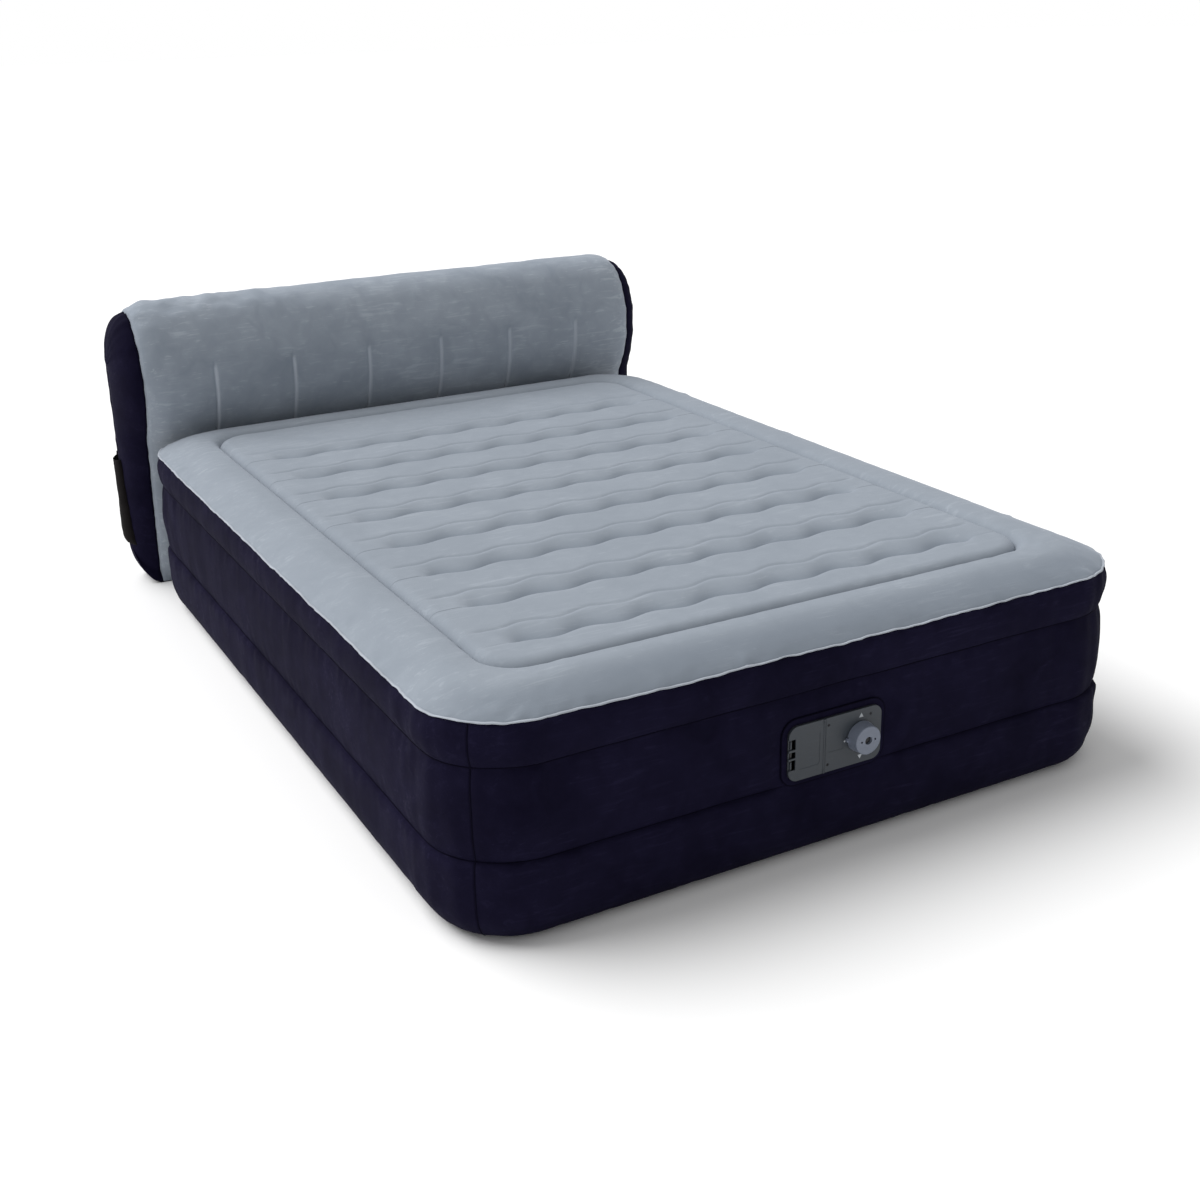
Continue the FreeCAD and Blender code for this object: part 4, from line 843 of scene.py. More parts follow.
@dataclass
class QuiltedTop:
    """The sleeping surface: long rows that drop into waved valleys, with a fine crease beyond each."""

    outline: Outline
    inset: float = 0.1445
    corner: float = 0.090
    crown: float = 0.4645
    rim_low: float = 0.4405
    underside: float = 0.4335
    roll: float = 0.027
    first_valley: float = 0.248
    pitch: float = 0.201
    rows: int = 8
    band: float = 0.070
    depth: float = 0.0195
    swing: float = 0.0025
    drop: float = 0.024
    crease: float = 0.0026
    crease_width: float = 0.0055
    wave: float = 0.140
    rise: float = 0.0085
    lag: float = 0.34
    quilted: float = 0.53
    columns: int = 156

    @property
    def half_width(self) -> float:
        """Half of the field's width."""
        return self.outline.half_width - self.inset

    @property
    def foot(self) -> float:
        """The field's foot edge."""
        return self.outline.foot + self.inset

    @property
    def head(self) -> float:
        """The field's head edge."""
        return self.outline.head - self.inset

    def width_at(self, along: float) -> float:
        """Half of the field's width at a station along the bed.

        Args:
            along: The station.

        Returns:
            Half of the width there.
        """
        beyond = abs(along - self.outline.middle) - (self.head - self.foot) / 2.0 + self.corner
        if beyond <= 0.0:
            return self.half_width
        return self.half_width - self.corner + math.sqrt(max(0.0, self.corner ** 2 - beyond ** 2))

    def stations(self) -> list[float]:
        """The grid's stations along the bed, crowded at the valleys, the creases and the ends.

        Returns:
            The stations in order, from the foot.
        """
        turns = [self.corner * (1.0 - math.cos(math.pi / 2.0 * share)) for share in even(15)]
        found = [self.foot] + [self.foot + turn for turn in turns]
        valley = self.outline.foot + self.first_valley
        start = found[-1]
        found += [start + (valley - start) * share for share in even(5)]
        for row in range(self.rows):
            line = valley + row * self.pitch
            found += [line + self.band * share for share in crowded(16)]
            last = row == self.rows - 1
            span = self.head - self.corner - line - self.band if last else self.pitch - self.band
            found += [line + self.band + span * share for share in (even(20) if last else crowded(24))]
        return found + [self.head - turn for turn in reversed(turns[:-1])] + [self.head]

    def shares(self) -> list[float]:
        """The grid's stations across the bed as shares of its half width, crowded at the sides.

        Returns:
            The shares in order, from -1 to 1.
        """
        edge = self.roll / self.half_width
        outer = [edge * (1.0 - math.cos(math.pi / 2.0 * share)) for share in [0.0, *even(8)]]
        inner = [edge + (2.0 - 2.0 * edge) * share for share in even(self.columns)][:-1]
        return [value - 1.0 for value in outer + inner] + [1.0 - value for value in reversed(outer)]

    def phase(self, across: float, row: int) -> float:
        """The wave's phase at a place across the bed, a little different on each row."""
        return math.tau * (across / self.wave + 0.09 * math.sin(2.3 * row) + 0.02 * row)

    def height(self, across: float, along: float) -> tuple[float, float]:
        """The quilting at a station, before its edges roll over.

        Args:
            across: The place across the bed.
            along: The station along the bed, on its straight line.

        Returns:
            How far the line wanders along the bed, and how far the skin lies under the crown.
        """
        from_first = along - self.outline.foot - self.first_valley
        row = min(self.rows - 1, math.floor(from_first / self.pitch))
        into = from_first - row * self.pitch
        fade = 1.0 - smooth((abs(across) - self.quilted + 0.035) / 0.06)
        crease_fade = 1.0 - smooth((abs(across) - self.quilted - 0.03) / 0.04)
        here = self.rise * math.sin(self.phase(across, row))
        creased = self.rise * math.sin(self.phase(across, row) - math.tau * self.lag)
        beyond = self.rise * math.sin(self.phase(across, row + 1))
        if into < self.band and row >= 0:
            share = into / self.band
            deep = (self.depth + self.swing * math.sin(self.phase(across, row))) * fade
            low = deep * (1.0 - share) ** 1.25 - 0.0012 * math.sin(math.pi * share) * fade
            low += self.crease * bell(into - self.band, self.crease_width) * crease_fade
            return (here + (creased - here) * share) * fade, low
        if row == self.rows - 1:
            span = self.head - self.outline.foot - self.first_valley - row * self.pitch - self.band
            share = (into - self.band) / span
            low = self.crease * bell(into - self.band, self.crease_width) * crease_fade + 0.001 * share
            return creased * (1.0 - smooth(share * 1.5)) * fade, low
        share = (into - self.band) / (self.pitch - self.band)
        if row < 0:
            creased = 0.0
            share = 1.0 + from_first / (self.outline.foot + self.first_valley - self.foot)
        deep = (self.depth + self.swing * math.sin(self.phase(across, row + 1))) * fade
        fall = max(0.0, 1.0 - (self.pitch - into) / self.drop)
        low = deep * (1.0 - math.sqrt(max(0.0, 1.0 - fall * fall)))
        low += 0.0025 * (share - 0.4) ** 2
        if row >= 0:
            low += self.crease * bell(into - self.band, self.crease_width) * crease_fade
        return (creased + (beyond - creased) * share) * fade, low

    def edge_distance(self, place: Vector) -> float:
        """How far inside the field's rounded edge a place is.

        Args:
            place: The place.

        Returns:
            The distance to the edge, or 0 outside it.
        """
        across = abs(place.x) - self.half_width + self.corner
        along = abs(place.y - self.outline.middle) - (self.head - self.foot) / 2.0 + self.corner
        outside = math.hypot(max(0.0, across), max(0.0, along)) + min(0.0, max(across, along))
        return max(0.0, self.corner - outside)

    def build(self, shop: Shop) -> None:
        """Makes the field as one closed cushion and dresses it.

        Args:
            shop: What dresses the pieces and sets them on their bodies.
        """
        stations = self.stations()
        shares = self.shares()
        mesh = bmesh.new()
        rows, columns = len(stations) - 1, len(shares) - 1
        bmesh.ops.create_grid(mesh, x_segments=columns, y_segments=rows, size=1.0)

        def settle(place: Vector) -> Vector:
            """Where a vertex of the grid goes on the quilted field.

            Args:
                place: A vertex of the plain grid, from -1 to 1 each way.

            Returns:
                Its new place.
            """
            along = stations[round((place.y + 1.0) / 2.0 * rows)]
            across = shares[round((place.x + 1.0) / 2.0 * columns)] * self.width_at(along)
            wander, low = self.height(across, along)
            flat = Vector((across, along + wander, 0.0))
            inside = self.edge_distance(Vector((across, along, 0.0)))
            rolled = math.sqrt(max(0.0, 1.0 - (1.0 - min(1.0, inside / self.roll)) ** 2))
            pucker = 0.0008 * ripple(flat, (0.03, 0.03, 1.0), 2.0) * bell(inside - 0.02, 0.02)
            soft = 0.0007 * ripple(flat, (0.16, 0.09, 1.0), 6.0)
            soft += 0.00025 * ripple(flat, (0.03, 0.02, 1.0), 8.0)
            top = self.crown - low + soft + pucker
            return Vector((flat.x, flat.y, self.rim_low + (top - self.rim_low) * rolled))

        pushed(mesh, settle)
        edges = [edge for edge in mesh.edges if edge.is_boundary]
        skirt = bmesh.ops.extrude_edge_only(mesh, edges=edges)["geom"]
        for vertex in skirt:
            if isinstance(vertex, bmesh.types.BMVert):
                vertex.co.z = self.underside
        hem = [edge for edge in skirt if isinstance(edge, bmesh.types.BMEdge) and edge.is_boundary]
        bmesh.ops.edgeloop_fill(mesh, edges=hem)
        bmesh.ops.remove_doubles(mesh, verts=mesh.verts, dist=SAME_POINT)
        face_outwards(mesh, Vector((0.0, self.outline.middle, self.rim_low)))
        # The field's seam attribute is painted shade that darkens the quilt's valleys.
        piece = finish_mesh(mesh, "quilted_field", self.painted_valley_shade)
        shop.place(piece, GREY_FLOCK, "grey_flock", replaces=("top_sheet",), fill=0.85)

    def painted_valley_shade(self, place: Vector) -> float:
        """Painted shade in the valleys: how far the colour darkens at a place, from 0 to 1."""
        inside = smooth((self.edge_distance(place) - self.roll) / 0.02)
        return 0.62 * inside * smooth((self.crown - 0.0025 - place.z) / 0.017)

    def webs(self, shop: Shop) -> None:
        """Makes the waved webs under the valleys.

        Args:
            shop: What dresses the pieces and sets them on their bodies.
        """
        mesh = bmesh.new()
        for row in range(self.rows):
            line = self.outline.foot + self.first_valley + row * self.pitch
            places = [(step / 75.0 - 1.0) * (self.quilted - 0.01) for step in range(151)]
            points = [Vector((x, line + self.rise * math.sin(self.phase(x, row)), 0.004)) for x in places]
            carried(mesh, chain(mesh, points), UP * (self.underside - 0.008), 6)
        piece = finish_mesh(mesh, "wave_webs")
        thicken(piece, WEB_THICKNESS)
        shop.place(piece, INNER_FILM, "inner_film", replaces=("wave_beams",))


@dataclass
class Rim:
    """The plump rim that frames the quilting."""

    outline: Outline
    board: "Headboard"
    width: float = 0.146
    crown: float = 0.4665
    shoulder: float = 0.084
    squareness: float = 1.24
    fall: float = 0.117
    low: float = 0.4405
    underside: float = 0.4385
    inner_corner: float = 0.48
    arch: float = 0.0012
    spacing: float = 0.0085
    clearance: float = 0.002

    def profile(self) -> list[Point]:
        """The rim's closed section, as (outwards, up), from the seam over the crown and back underneath.

        Returns:
            The section's points in order.
        """
        seam = self.outline.seam
        points = [(-0.0005, seam + 0.0008)]
        edge = points[0][1]
        rise = self.crown - self.arch - edge
        for share in crowded(26):
            left = (1.0 - share) ** self.squareness
            points.append((-self.shoulder * share, edge + rise * (1.0 - left) ** (1.0 / self.squareness)))
        flat = self.fall - self.shoulder
        points += [(-self.shoulder - flat * share,
                    self.crown - self.arch + self.arch * math.sin(math.pi * share ** 0.8))
                   for share in even(6)]
        for share in even(14):
            turn = math.pi / 2.0 * share
            points.append((-self.fall - (self.width - self.fall) * math.sin(turn),
                           self.low + (self.crown - self.arch - self.low) * math.cos(turn) ** 1.15))
        return points + [(-self.width, self.underside), (-0.08, self.underside), (-0.012, seam + 0.0006)]

    def relief(self, place: Vector) -> Vector:
        """Puckers, soft swells and the wandering seam at a place on the rim.

        Args:
            place: The place on the plain rim.

        Returns:
            How far the place moves.
        """
        direction, out, corner = self.outline.locate(place)
        flat = Vector((place.x, place.y, 0.0))
        if place.z <= self.underside:
            return self.outline.seam_shift(place, direction, corner)
        outer = bell(place.z - 0.436, 0.012) * smooth((out + 0.05) / 0.05)
        inner = bell(out + 0.132, 0.016)
        top = smooth((place.z - self.underside) / 0.012)
        folds = ripple(flat, (0.024, 0.024, 1.0), 12.0)
        wide = ripple(flat, (0.07, 0.07, 1.0), 15.0)
        swell_up = 0.0012 * ripple(flat, (0.35, 0.35, 1.0), 19.0) + corner * 0.0014 * wide
        swell_up += 0.0007 * folds * (inner + corner * 1.4)
        swell_out = 0.0016 * outer * folds + 0.0014 * corner * wide * outer
        wander = self.outline.seam_shift(place, direction, corner)
        return direction * swell_out + UP * (swell_up * top) + wander

    def build(self, shop: Shop) -> None:
        """Makes the rim as one closed tube, with its pale weld lip, and dresses them.

        Args:
            shop: What dresses the pieces and sets them on their bodies.
        """
        mesh = bmesh.new()
        self.outline.sweep(mesh, self.profile(), (0, 1, 2, 3), self.spacing, closed=True)

        def settle(place: Vector) -> Vector:
            """Where a place on the plain rim goes, kept clear of the headboard.

            Args:
                place: The place.

            Returns:
                Its new place.
            """
            moved = place + self.relief(place)
            moved = self.outline.tighten(moved, self.inner_corner)
            moved.y = min(moved.y, self.board.front_at(moved.z) - self.clearance)
            return moved

        pushed(mesh, settle)
        bmesh.ops.recalc_face_normals(mesh, faces=mesh.faces)
        # The rim's seam attribute is painted shade that darkens the slope facing the foot.
        piece = finish_mesh(mesh, "rim_cushion", self.painted_foot_slope_shade)
        shop.place(piece, GREY_FLOCK, "grey_flock", replaces=("top_sheet",), fill=0.9)
        self._lip(shop)

    def painted_foot_slope_shade(self, place: Vector) -> float:
        """Painted shade on the slope that faces the foot: how far the colour darkens at a place."""
        direction, out, _ = self.outline.locate(place)
        return 0.42 * max(0.0, -direction.y) * smooth((out + 0.095) / 0.055)

    def _lip(self, shop: Shop) -> None:
        """Makes the pale weld lip between the rim and the walls.

        Args:
            shop: What dresses the pieces and sets them on their bodies.
        """
        seam = self.outline.seam
        mesh = bmesh.new()
        section = [(-0.003, seam - 0.0012), (0.0026, seam - 0.0013), (0.0040, seam - 0.0006),
                   (0.0041, seam + 0.0008), (0.0026, seam + 0.0016), (-0.003, seam + 0.0015)]
        self.outline.sweep(mesh, section, (0, 1, 2, 3), self.spacing, closed=True)

        def settle(place: Vector) -> Vector:
            """Where a place on the plain lip goes, kept clear of the headboard.

            Args:
                place: The place.

            Returns:
                Its new place.
            """
            direction, _, corner = self.outline.locate(place)
            flat = Vector((place.x, place.y, 0.0))
            ragged = direction * (0.0009 * ripple(flat, (0.012, 0.012, 1.0), 41.0))
            moved = place + self.outline.seam_shift(place, direction, corner) + ragged
            moved.y = min(moved.y, self.board.front_at(moved.z) - self.clearance)
            return moved

        pushed(mesh, settle)
        bmesh.ops.recalc_face_normals(mesh, faces=mesh.faces)
        shop.place(finish_mesh(mesh, "rim_weld_lip"), LIGHT_WELT, "grey_flock")


@dataclass
class Walls:
    """The four flocked walls in three swollen tiers, tucked under at the floor."""

    outline: Outline
    upper: float = 0.346
    lower: float = 0.166
    widest: float = 0.098
    upper_inset: float = -0.0015
    lower_inset: float = -0.0005
    upper_swell: float = 0.0105
    middle_swell: float = 0.0095
    lower_swell: float = 0.0115
    tuck: float = 0.045
    skin: float = 0.0012
    pump_height: float = 0.230
    plate_half: Point = (0.118, 0.068)
    plate_radius: float = 0.032
    hole_half: Point = (0.107, 0.057)

    def profile(self) -> list[Point]:
        """The wall's section from the top seam down, as (outwards, up).

        Returns:
            The section's points in order.
        """
        seam = self.outline.seam
        points = [(0.0, seam)]
        high, low = (self.upper_inset, self.upper), (self.lower_inset, self.lower)
        points += swell((0.0, seam), high, self.upper_swell, 18)
        points += swell(high, low, self.middle_swell, 28, 2.8)
        for share in even(9):
            turn = math.sin(math.pi / 2.0 * share)
            bulge = self.lower_swell - self.lower_inset
            points.append((self.lower_inset + bulge * (1.0 - (1.0 - turn) ** 2.3),
                           self.lower + (self.widest - self.lower) * (1.0 - math.cos(math.pi / 2.0 * share))))
        reach = self.tuck + self.lower_swell
        for share in even(14):
            turn = math.pi / 2.0 * share
            points.append((-self.tuck + reach * math.cos(turn) ** 0.82,
                           self.skin + (self.widest - self.skin) * (1.0 - math.sin(turn) ** 0.88)))
        return points

    def from_plate(self, place: Vector) -> float:
        """How far outside the pump's soft flange a place on the foot wall is.

        Args:
            place: The place.

        Returns:
            The distance, below 0 on the flange.
        """
        across = abs(place.x) - self.plate_half[0] + self.plate_radius
        up = abs(place.z - self.pump_height) - self.plate_half[1] + self.plate_radius
        return math.hypot(max(0.0, across), max(0.0, up)) + min(0.0, max(across, up)) - self.plate_radius

    def settle(self, place: Vector) -> Vector:
        """Where a place on the plain wall goes, with its folds, creases and the pump's hollow.

        Args:
            place: The place.

        Returns:
            Its new place.
        """
        direction, _, corner = self.outline.locate(place)
        high = place.z
        seam = self.outline.seam
        crease = max(bell(high - self.upper, 0.024), bell(high - self.lower, 0.024))
        pinned = max(bell(high - self.upper, 0.005), bell(high - self.lower, 0.005), bell(high - seam, 0.006))
        floor = smooth(high / 0.05)
        folds = ripple(place, (0.023, 0.023, 0.30), 3.0)
        slow = ripple(place, (0.085, 0.085, 0.35), 7.0)
        slant = ripple(Vector((place.x + high * 0.6, place.y + high * 0.6, high)), (0.05, 0.05, 0.16), 11.0)
        relief = folds * (0.0004 + 0.0023 * crease + 0.0012 * corner + 0.0020 * bell(high - seam, 0.022))
        relief += slow * (0.0014 + 0.0022 * corner) + slant * (0.0012 + 0.0022 * corner)
        relief *= (1.0 - 0.75 * pinned) * floor
        moved = place + direction * relief + self.outline.seam_shift(place, direction, corner)
        waver = 0.0016 * ripple(place, (0.11, 0.11, 5.0), 13.0) + 0.0008 * folds
        moved.z += waver * max(bell(high - self.upper, 0.03), bell(high - self.lower, 0.03))
        moved.z += 0.0022 * (1.0 - floor) * max(0.0, ripple(place, (0.035, 0.035, 1.0), 29.0))
        if direction.y < -0.99:
            hollow = 1.0 - smooth((self.from_plate(place) + 0.003) / 0.045)
            level = self.outline.foot - 0.0006
            moved.y += (level - moved.y) * hollow
        return moved

    def build(self, shop: Shop) -> None:
        """Makes the four walls with their corner and crease welds, and dresses them.

        Args:
            shop: What dresses the pieces and sets them on their bodies.
        """
        for side, name in enumerate(("foot_wall", "right_wall", "head_wall", "left_wall")):
            mesh = bmesh.new()
            self.outline.sweep(mesh, self.profile(), (side,), 0.0075)
            if name == "foot_wall":
                self._open(mesh)
            pushed(mesh, self.settle)
            face_outwards(mesh, Vector((0.0, self.outline.middle, 0.2)))
            piece = finish_mesh(mesh, name + "_skin")
            thicken(piece, self.skin)
            shop.place(piece, NAVY_FLOCK, "navy_flock", replaces=(name,), fill=0.9)
        self._welds(shop)
        self._base(shop)

    def _open(self, mesh: bmesh.types.BMesh) -> None:
        """Cuts the pump's opening in the foot wall.

        Args:
            mesh: The foot wall's plain skin.
        """
        across, up = self.hole_half
        cuts = [(Vector((side * across, 0.0, 0.0)), Vector((1.0, 0.0, 0.0))) for side in (-1.0, 1.0)]
        cuts += [(Vector((0.0, 0.0, self.pump_height + side * up)), UP) for side in (-1.0, 1.0)]
        for point, normal in cuts:
            bmesh.ops.bisect_plane(mesh, geom=mesh.verts[:] + mesh.edges[:] + mesh.faces[:], dist=0.000001,
                                   plane_co=point, plane_no=normal)
        inside = []
        for face in mesh.faces:
            middle = face.calc_center_median()
            if abs(middle.x) < across and abs(middle.z - self.pump_height) < up and middle.y < 0.0:
                inside.append(face)
        bmesh.ops.delete(mesh, geom=inside, context="FACES")

    def _welds(self, shop: Shop) -> None:
        """Makes the fine welded lines along the creases and down the corners.

        Args:
            shop: What dresses the pieces and sets them on their bodies.
        """
        mesh = bmesh.new()
        for high, base in ((self.upper, self.upper_inset), (self.lower, self.lower_inset)):
            ring = bmesh.new()
            section = [(base - 0.0014, high - 0.0013), (base + 0.0011, high - 0.0011), (base + 0.0016, high),
                       (base + 0.0011, high + 0.0011), (base - 0.0014, high + 0.0013)]
            self.outline.sweep(ring, section, (0, 1, 2, 3), 0.012, closed=True)
            pushed(ring, self.settle)
            bmesh.ops.recalc_face_normals(ring, faces=ring.faces)
            self._join(mesh, ring)
        shop.place(finish_mesh(mesh, "crease_welds"), NAVY_WELD, "navy_flock")
        for index in range(4):
            line = [self.settle(point) for point in self.outline.at_corner(index, self.profile())]
            piece = bead(line, 0.0011, f"corner_weld_{index + 1}", closed=False)
            shop.place(piece, NAVY_WELD, "navy_flock")

    def _join(self, mesh: bmesh.types.BMesh, part: bmesh.types.BMesh) -> None:
        """Adds one bmesh to another and frees it.

        Args:
            mesh: The mesh that is added to.
            part: The mesh that is used up.
        """
        data = bpy.data.meshes.new("joining")
        part.to_mesh(data)
        part.free()
        mesh.from_mesh(data)
        bpy.data.meshes.remove(data)

    def _base(self, shop: Shop) -> None:
        """Makes the sheet that lies on the floor and the strip that joins it to the headboard.

        Args:
            shop: What dresses the pieces and sets them on their bodies.
        """
        low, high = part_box("bottom_sheet")
        mesh = bmesh.new()
        bmesh.ops.create_grid(mesh, x_segments=60, y_segments=84, size=1.0)
        corner = self.outline.radius - self.tuck
        half = (high[1] - low[1]) / 2.0

        def settle(place: Vector) -> Vector:
            """Where a vertex of the grid goes on the floor sheet.

            Args:
                place: A vertex of the plain grid, from -1 to 1 each way.

            Returns:
                Its new place.
            """
            along = math.sin(math.pi / 2.0 * place.y) * half
            beyond = abs(along) - half + corner
            width = high[0]
            if beyond > 0.0:
                width += math.sqrt(max(0.0, corner ** 2 - beyond ** 2)) - corner
            flat = Vector((place.x * width, self.outline.middle + along, 0.0))
            return flat + UP * (0.0014 + 0.0008 * ripple(flat, (0.12, 0.12, 1.0), 5.0))

        pushed(mesh, settle)
        bmesh.ops.remove_doubles(mesh, verts=mesh.verts, dist=SAME_POINT)
        face_outwards(mesh, Vector((0.0, self.outline.middle, 1.0)))
        piece = finish_mesh(mesh, "floor_sheet")
        thicken(piece, WEB_THICKNESS)
        shop.place(piece, FLOOR_VINYL, "floor_vinyl", replaces=("bottom_sheet",), fill=0.2)
        low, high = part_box("join_strip")
        strip = bmesh.new()
        bmesh.ops.create_grid(strip, x_segments=120, y_segments=14, size=1.0)

        def lay(place: Vector) -> Vector:
            """Where a vertex of the grid goes on the join strip.

            Args:
                place: A vertex of the plain grid, from -1 to 1 each way.

            Returns:
                Its new place.
            """
            along = (low[1] + high[1]) / 2.0 + place.y * (high[1] - low[1]) / 2.0
            flat = Vector((place.x * high[0], along, 0.0))
            return flat + UP * (0.0028 + 0.0016 * ripple(flat, (0.05, 0.09, 1.0), 5.0))

        pushed(strip, lay)
        face_outwards(strip, Vector((0.0, low[1], -1.0)))
        piece = finish_mesh(strip, "join_strip_cloth")
        thicken(piece, WEB_THICKNESS)
        shop.place(piece, FLOOR_VINYL, "floor_vinyl", replaces=("join_strip",))


# ---------------------------------------------------------------- headboard
@dataclass
class Headboard:
    """The inflated headboard: a grey front that wraps over the ridge, a navy back and two navy ends."""

    outline: Outline
    half_width: float = 0.750
    tie_pitch: float = 0.223
    tie_top: float = 0.640
    tie_low: float = 0.060
    parting: float = 0.196
    rounding: float = 0.024
    rounding_reach: float = 0.070
    dome: float = 0.064
    skin: float = 0.0012
    step: float = 0.0105
    fine: float = 0.022
    tie_inset: float = 0.0125
    base_front: Point = (0.082, 0.0)
    waist: Point = (0.018, 0.430)
    front: Point = (-0.040, 0.600)
    front_shoulder: Point = (0.002, 0.738)
    ridge: Point = (0.108, 0.800)
    back_shoulder: Point = (0.228, 0.738)
    back: Point = (0.270, 0.600)
    back_waist: Point = (0.244, 0.370)
    back_low: Point = (0.266, 0.120)
    base_back: Point = (0.205, 0.0)
    normals: list[Point] = field(init=False, default_factory=list)
    lookup: KDTree = field(init=False)
    shells: dict[float, BVHTree] = field(init=False, default_factory=dict)

    @property
    def ties(self) -> list[float]:
        """Where the inner ties pull the skins in, across the bed."""
        return [(index - 2.5) * self.tie_pitch for index in range(6)]

    @property
    def heart(self) -> Vector:
        """A place inside the headboard that its skins lie around."""
        return Vector((0.0, self.outline.head + 0.12, 0.4))

    def front_at(self, high: float) -> float:
        """Where the front skin stands along the bed at a height near the rim.

        Args:
            high: The height.

        Returns:
            The place along the bed.
        """
        across, up = self.front[0] - self.waist[0], self.front[1] - self.waist[1]
        radius = (across * across + up * up) / (2.0 * abs(across))
        below = min(up, max(0.0, self.front[1] - high))
        return self.outline.head + self.front[0] + radius - math.sqrt(radius ** 2 - below ** 2)

    def section(self) -> tuple[list[Point], list[Point]]:
        """The front's and the back's open sections, as (along the bed from the mattress, up).

        Returns:
            The front's points, up and over the ridge, and the back's, down and under to the first.
        """
        front = [self.base_front]
        front += straight(self.base_front, self.waist, 34)
        front += backwards(self.front, beside(self.front, self.waist, 14))
        front += beside(self.front, self.front_shoulder, 12)
        front += backwards(self.ridge, along_ridge(self.ridge, self.front_shoulder, 12))
        over = along_ridge(self.ridge, self.back_shoulder, 16)
        front += [point for point in over if point[0] <= self.parting]
        back = [front[-1]] + [point for point in over if point[0] > self.parting]
        back += backwards(self.back, beside(self.back, self.back_shoulder, 12))
        back += beside(self.back, self.back_waist, 16)
        back += straight(self.back_waist, self.back_low, 18)
        back += beside(self.back_low, self.base_back, 9)
        back += straight(self.base_back, self.base_front, 8)
        return front, back

    def prepare(self) -> tuple[list[Vector], list[Vector]]:
        """Places both sections at the left end and notes the outward direction at each point.

        Returns:
            The front's and the back's points.
        """
        front, back = self.section()
        loop = front + back[1:-1]
        count = len(loop)
        self.lookup = KDTree(count)
        for index, point in enumerate(loop):
            before, after = loop[index - 1], loop[(index + 1) % count]
            run = Vector((after[0] - before[0], after[1] - before[1])).normalized()
            self.normals.append((-run.y, run.x))
            self.lookup.insert((0.0, self.outline.head + point[0], point[1]), index)
        self.lookup.balance()
        stand = [[Vector((-self.half_width, self.outline.head + across, up)) for across, up in part]
                 for part in (front, back)]
        return stand[0], stand[1]

    def normal_at(self, place: Vector) -> Point:
        """The outward direction, as (along the bed, up), at the section point nearest to a place."""
        _, index, _ = self.lookup.find((0.0, place.y, place.z))
        return self.normals[index]

    def settle(self, place: Vector) -> Vector:
        """Where a place on the plain skin goes, with its welded dents, puckers and rounded ends.

        Args:
            place: The place.

        Returns:
            Its new place.
        """
        normal = self.normal_at(place)
        direction = Vector((0.0, normal[0], normal[1]))
        floor = smooth(place.z / 0.03)
        upright = smooth((abs(normal[0]) - 0.55) / 0.3)
        past = abs(place.x) - self.half_width + self.rounding_reach
        beyond = min(1.0, max(0.0, past / self.rounding_reach))
        inward = self.rounding * (1.0 - math.sqrt(1.0 - 0.92 * beyond ** 2)) / (1.0 - math.sqrt(0.08))
        window = smooth((self.tie_top + 0.012 - place.z) / 0.035) * smooth((place.z - 0.02) / 0.08) * upright
        line = min(abs(place.x - tie) for tie in self.ties)
        inward += window * (0.0045 * bell(line, 0.0045) + 0.0048 * bell(line, 0.030))
        inward -= 0.0016 * bell(place.z - self.tie_top - 0.01, 0.03) * upright
        edge = smooth((abs(place.x) - self.half_width + 0.10) / 0.10)
        pleats = ripple(Vector((math.copysign(0.4, place.x), place.y, place.z)), (1.0, 0.019, 0.019), 2.0)
        inward += edge * 0.0025 * pleats
        left = smooth((-place.x - 0.05) / 0.5)
        top = smooth((place.z - 0.74) / 0.05)
        crumple = ripple(place, (0.045, 0.035, 0.05), 5.0)
        inward += crumple * (0.0006 + top * (0.0010 + 0.0048 * left ** 2))
        inward += 0.0022 * ripple(place, (0.30, 0.30, 0.22), 8.0)
        inward += 0.0007 * ripple(place, (0.06, 0.06, 0.018), 14.0) * edge
        moved = place - direction * (inward * floor)
        moved.x += 0.0022 * ripple(place, (1.0, 0.026, 0.026), 21.0) * smooth(edge * 2.0 - 1.0)
        moved.z = max(moved.z, 0.0006)
        return moved

    def seam(self, place: Vector) -> float:
        """How crushed the pile is at a place, along the ties' welds.

        Args:
            place: The place.

        Returns:
            The share, from 0 to 1.
        """
        line = min(abs(place.x - tie - 0.003) for tie in self.ties)
        window = smooth((self.tie_top - place.z) / 0.02)
        return 0.85 * window * bell(line, 0.0042)

    def runs(self) -> list[tuple[float, int]]:
        """The stretches across the bed and their steps, finer at each tie.

        Returns:
            Each stretch's length and its number of steps.
        """
        stretches = []
        start = -self.half_width
        for tie in self.ties:
            length = tie - self.fine - start
            stretches.append((length, max(1, round(length / self.step))))
            stretches.append((2.0 * self.fine, 22))
            start = tie + self.fine
        stretches.append((self.half_width - start, round((self.half_width - start) / self.step)))
        return stretches

    def _skin(self, points: list[Vector], name: str) -> bpy.types.Object:
        """Carries a section across the bed, shapes it and gives it thickness.

        Args:
            points: The open section at the left end.
            name: The piece's name.

        Returns:
            The skin.
        """
        mesh = bmesh.new()
        geometry = chain(mesh, points)
        for length, steps in self.runs():
            geometry = carried(mesh, geometry, Vector((length, 0.0, 0.0)), steps)
        bmesh.ops.remove_doubles(mesh, verts=mesh.verts, dist=SAME_POINT)
        pushed(mesh, self.settle)
        face_outwards(mesh, self.heart)
        piece = finish_mesh(mesh, name, self.seam)
        thicken(piece, self.skin)
        return piece

    def _end(self, loop: list[Vector], side: float) -> bpy.types.Object:
        """Closes one end with a soft dome that shrinks onto an upright line inside it.

        Args:
            loop: The whole section at the left end.
            side: -1 for the left end, 1 for the right.

        Returns:
            The end's skin.
        """
        rings = 16
        step = 0.01
        mesh = bmesh.new()
        start = [Vector((0.0, point.y, point.z)) for point in loop]
        carried(mesh, chain(mesh, start, closed=True), Vector((rings * step, 0.0, 0.0)), rings)

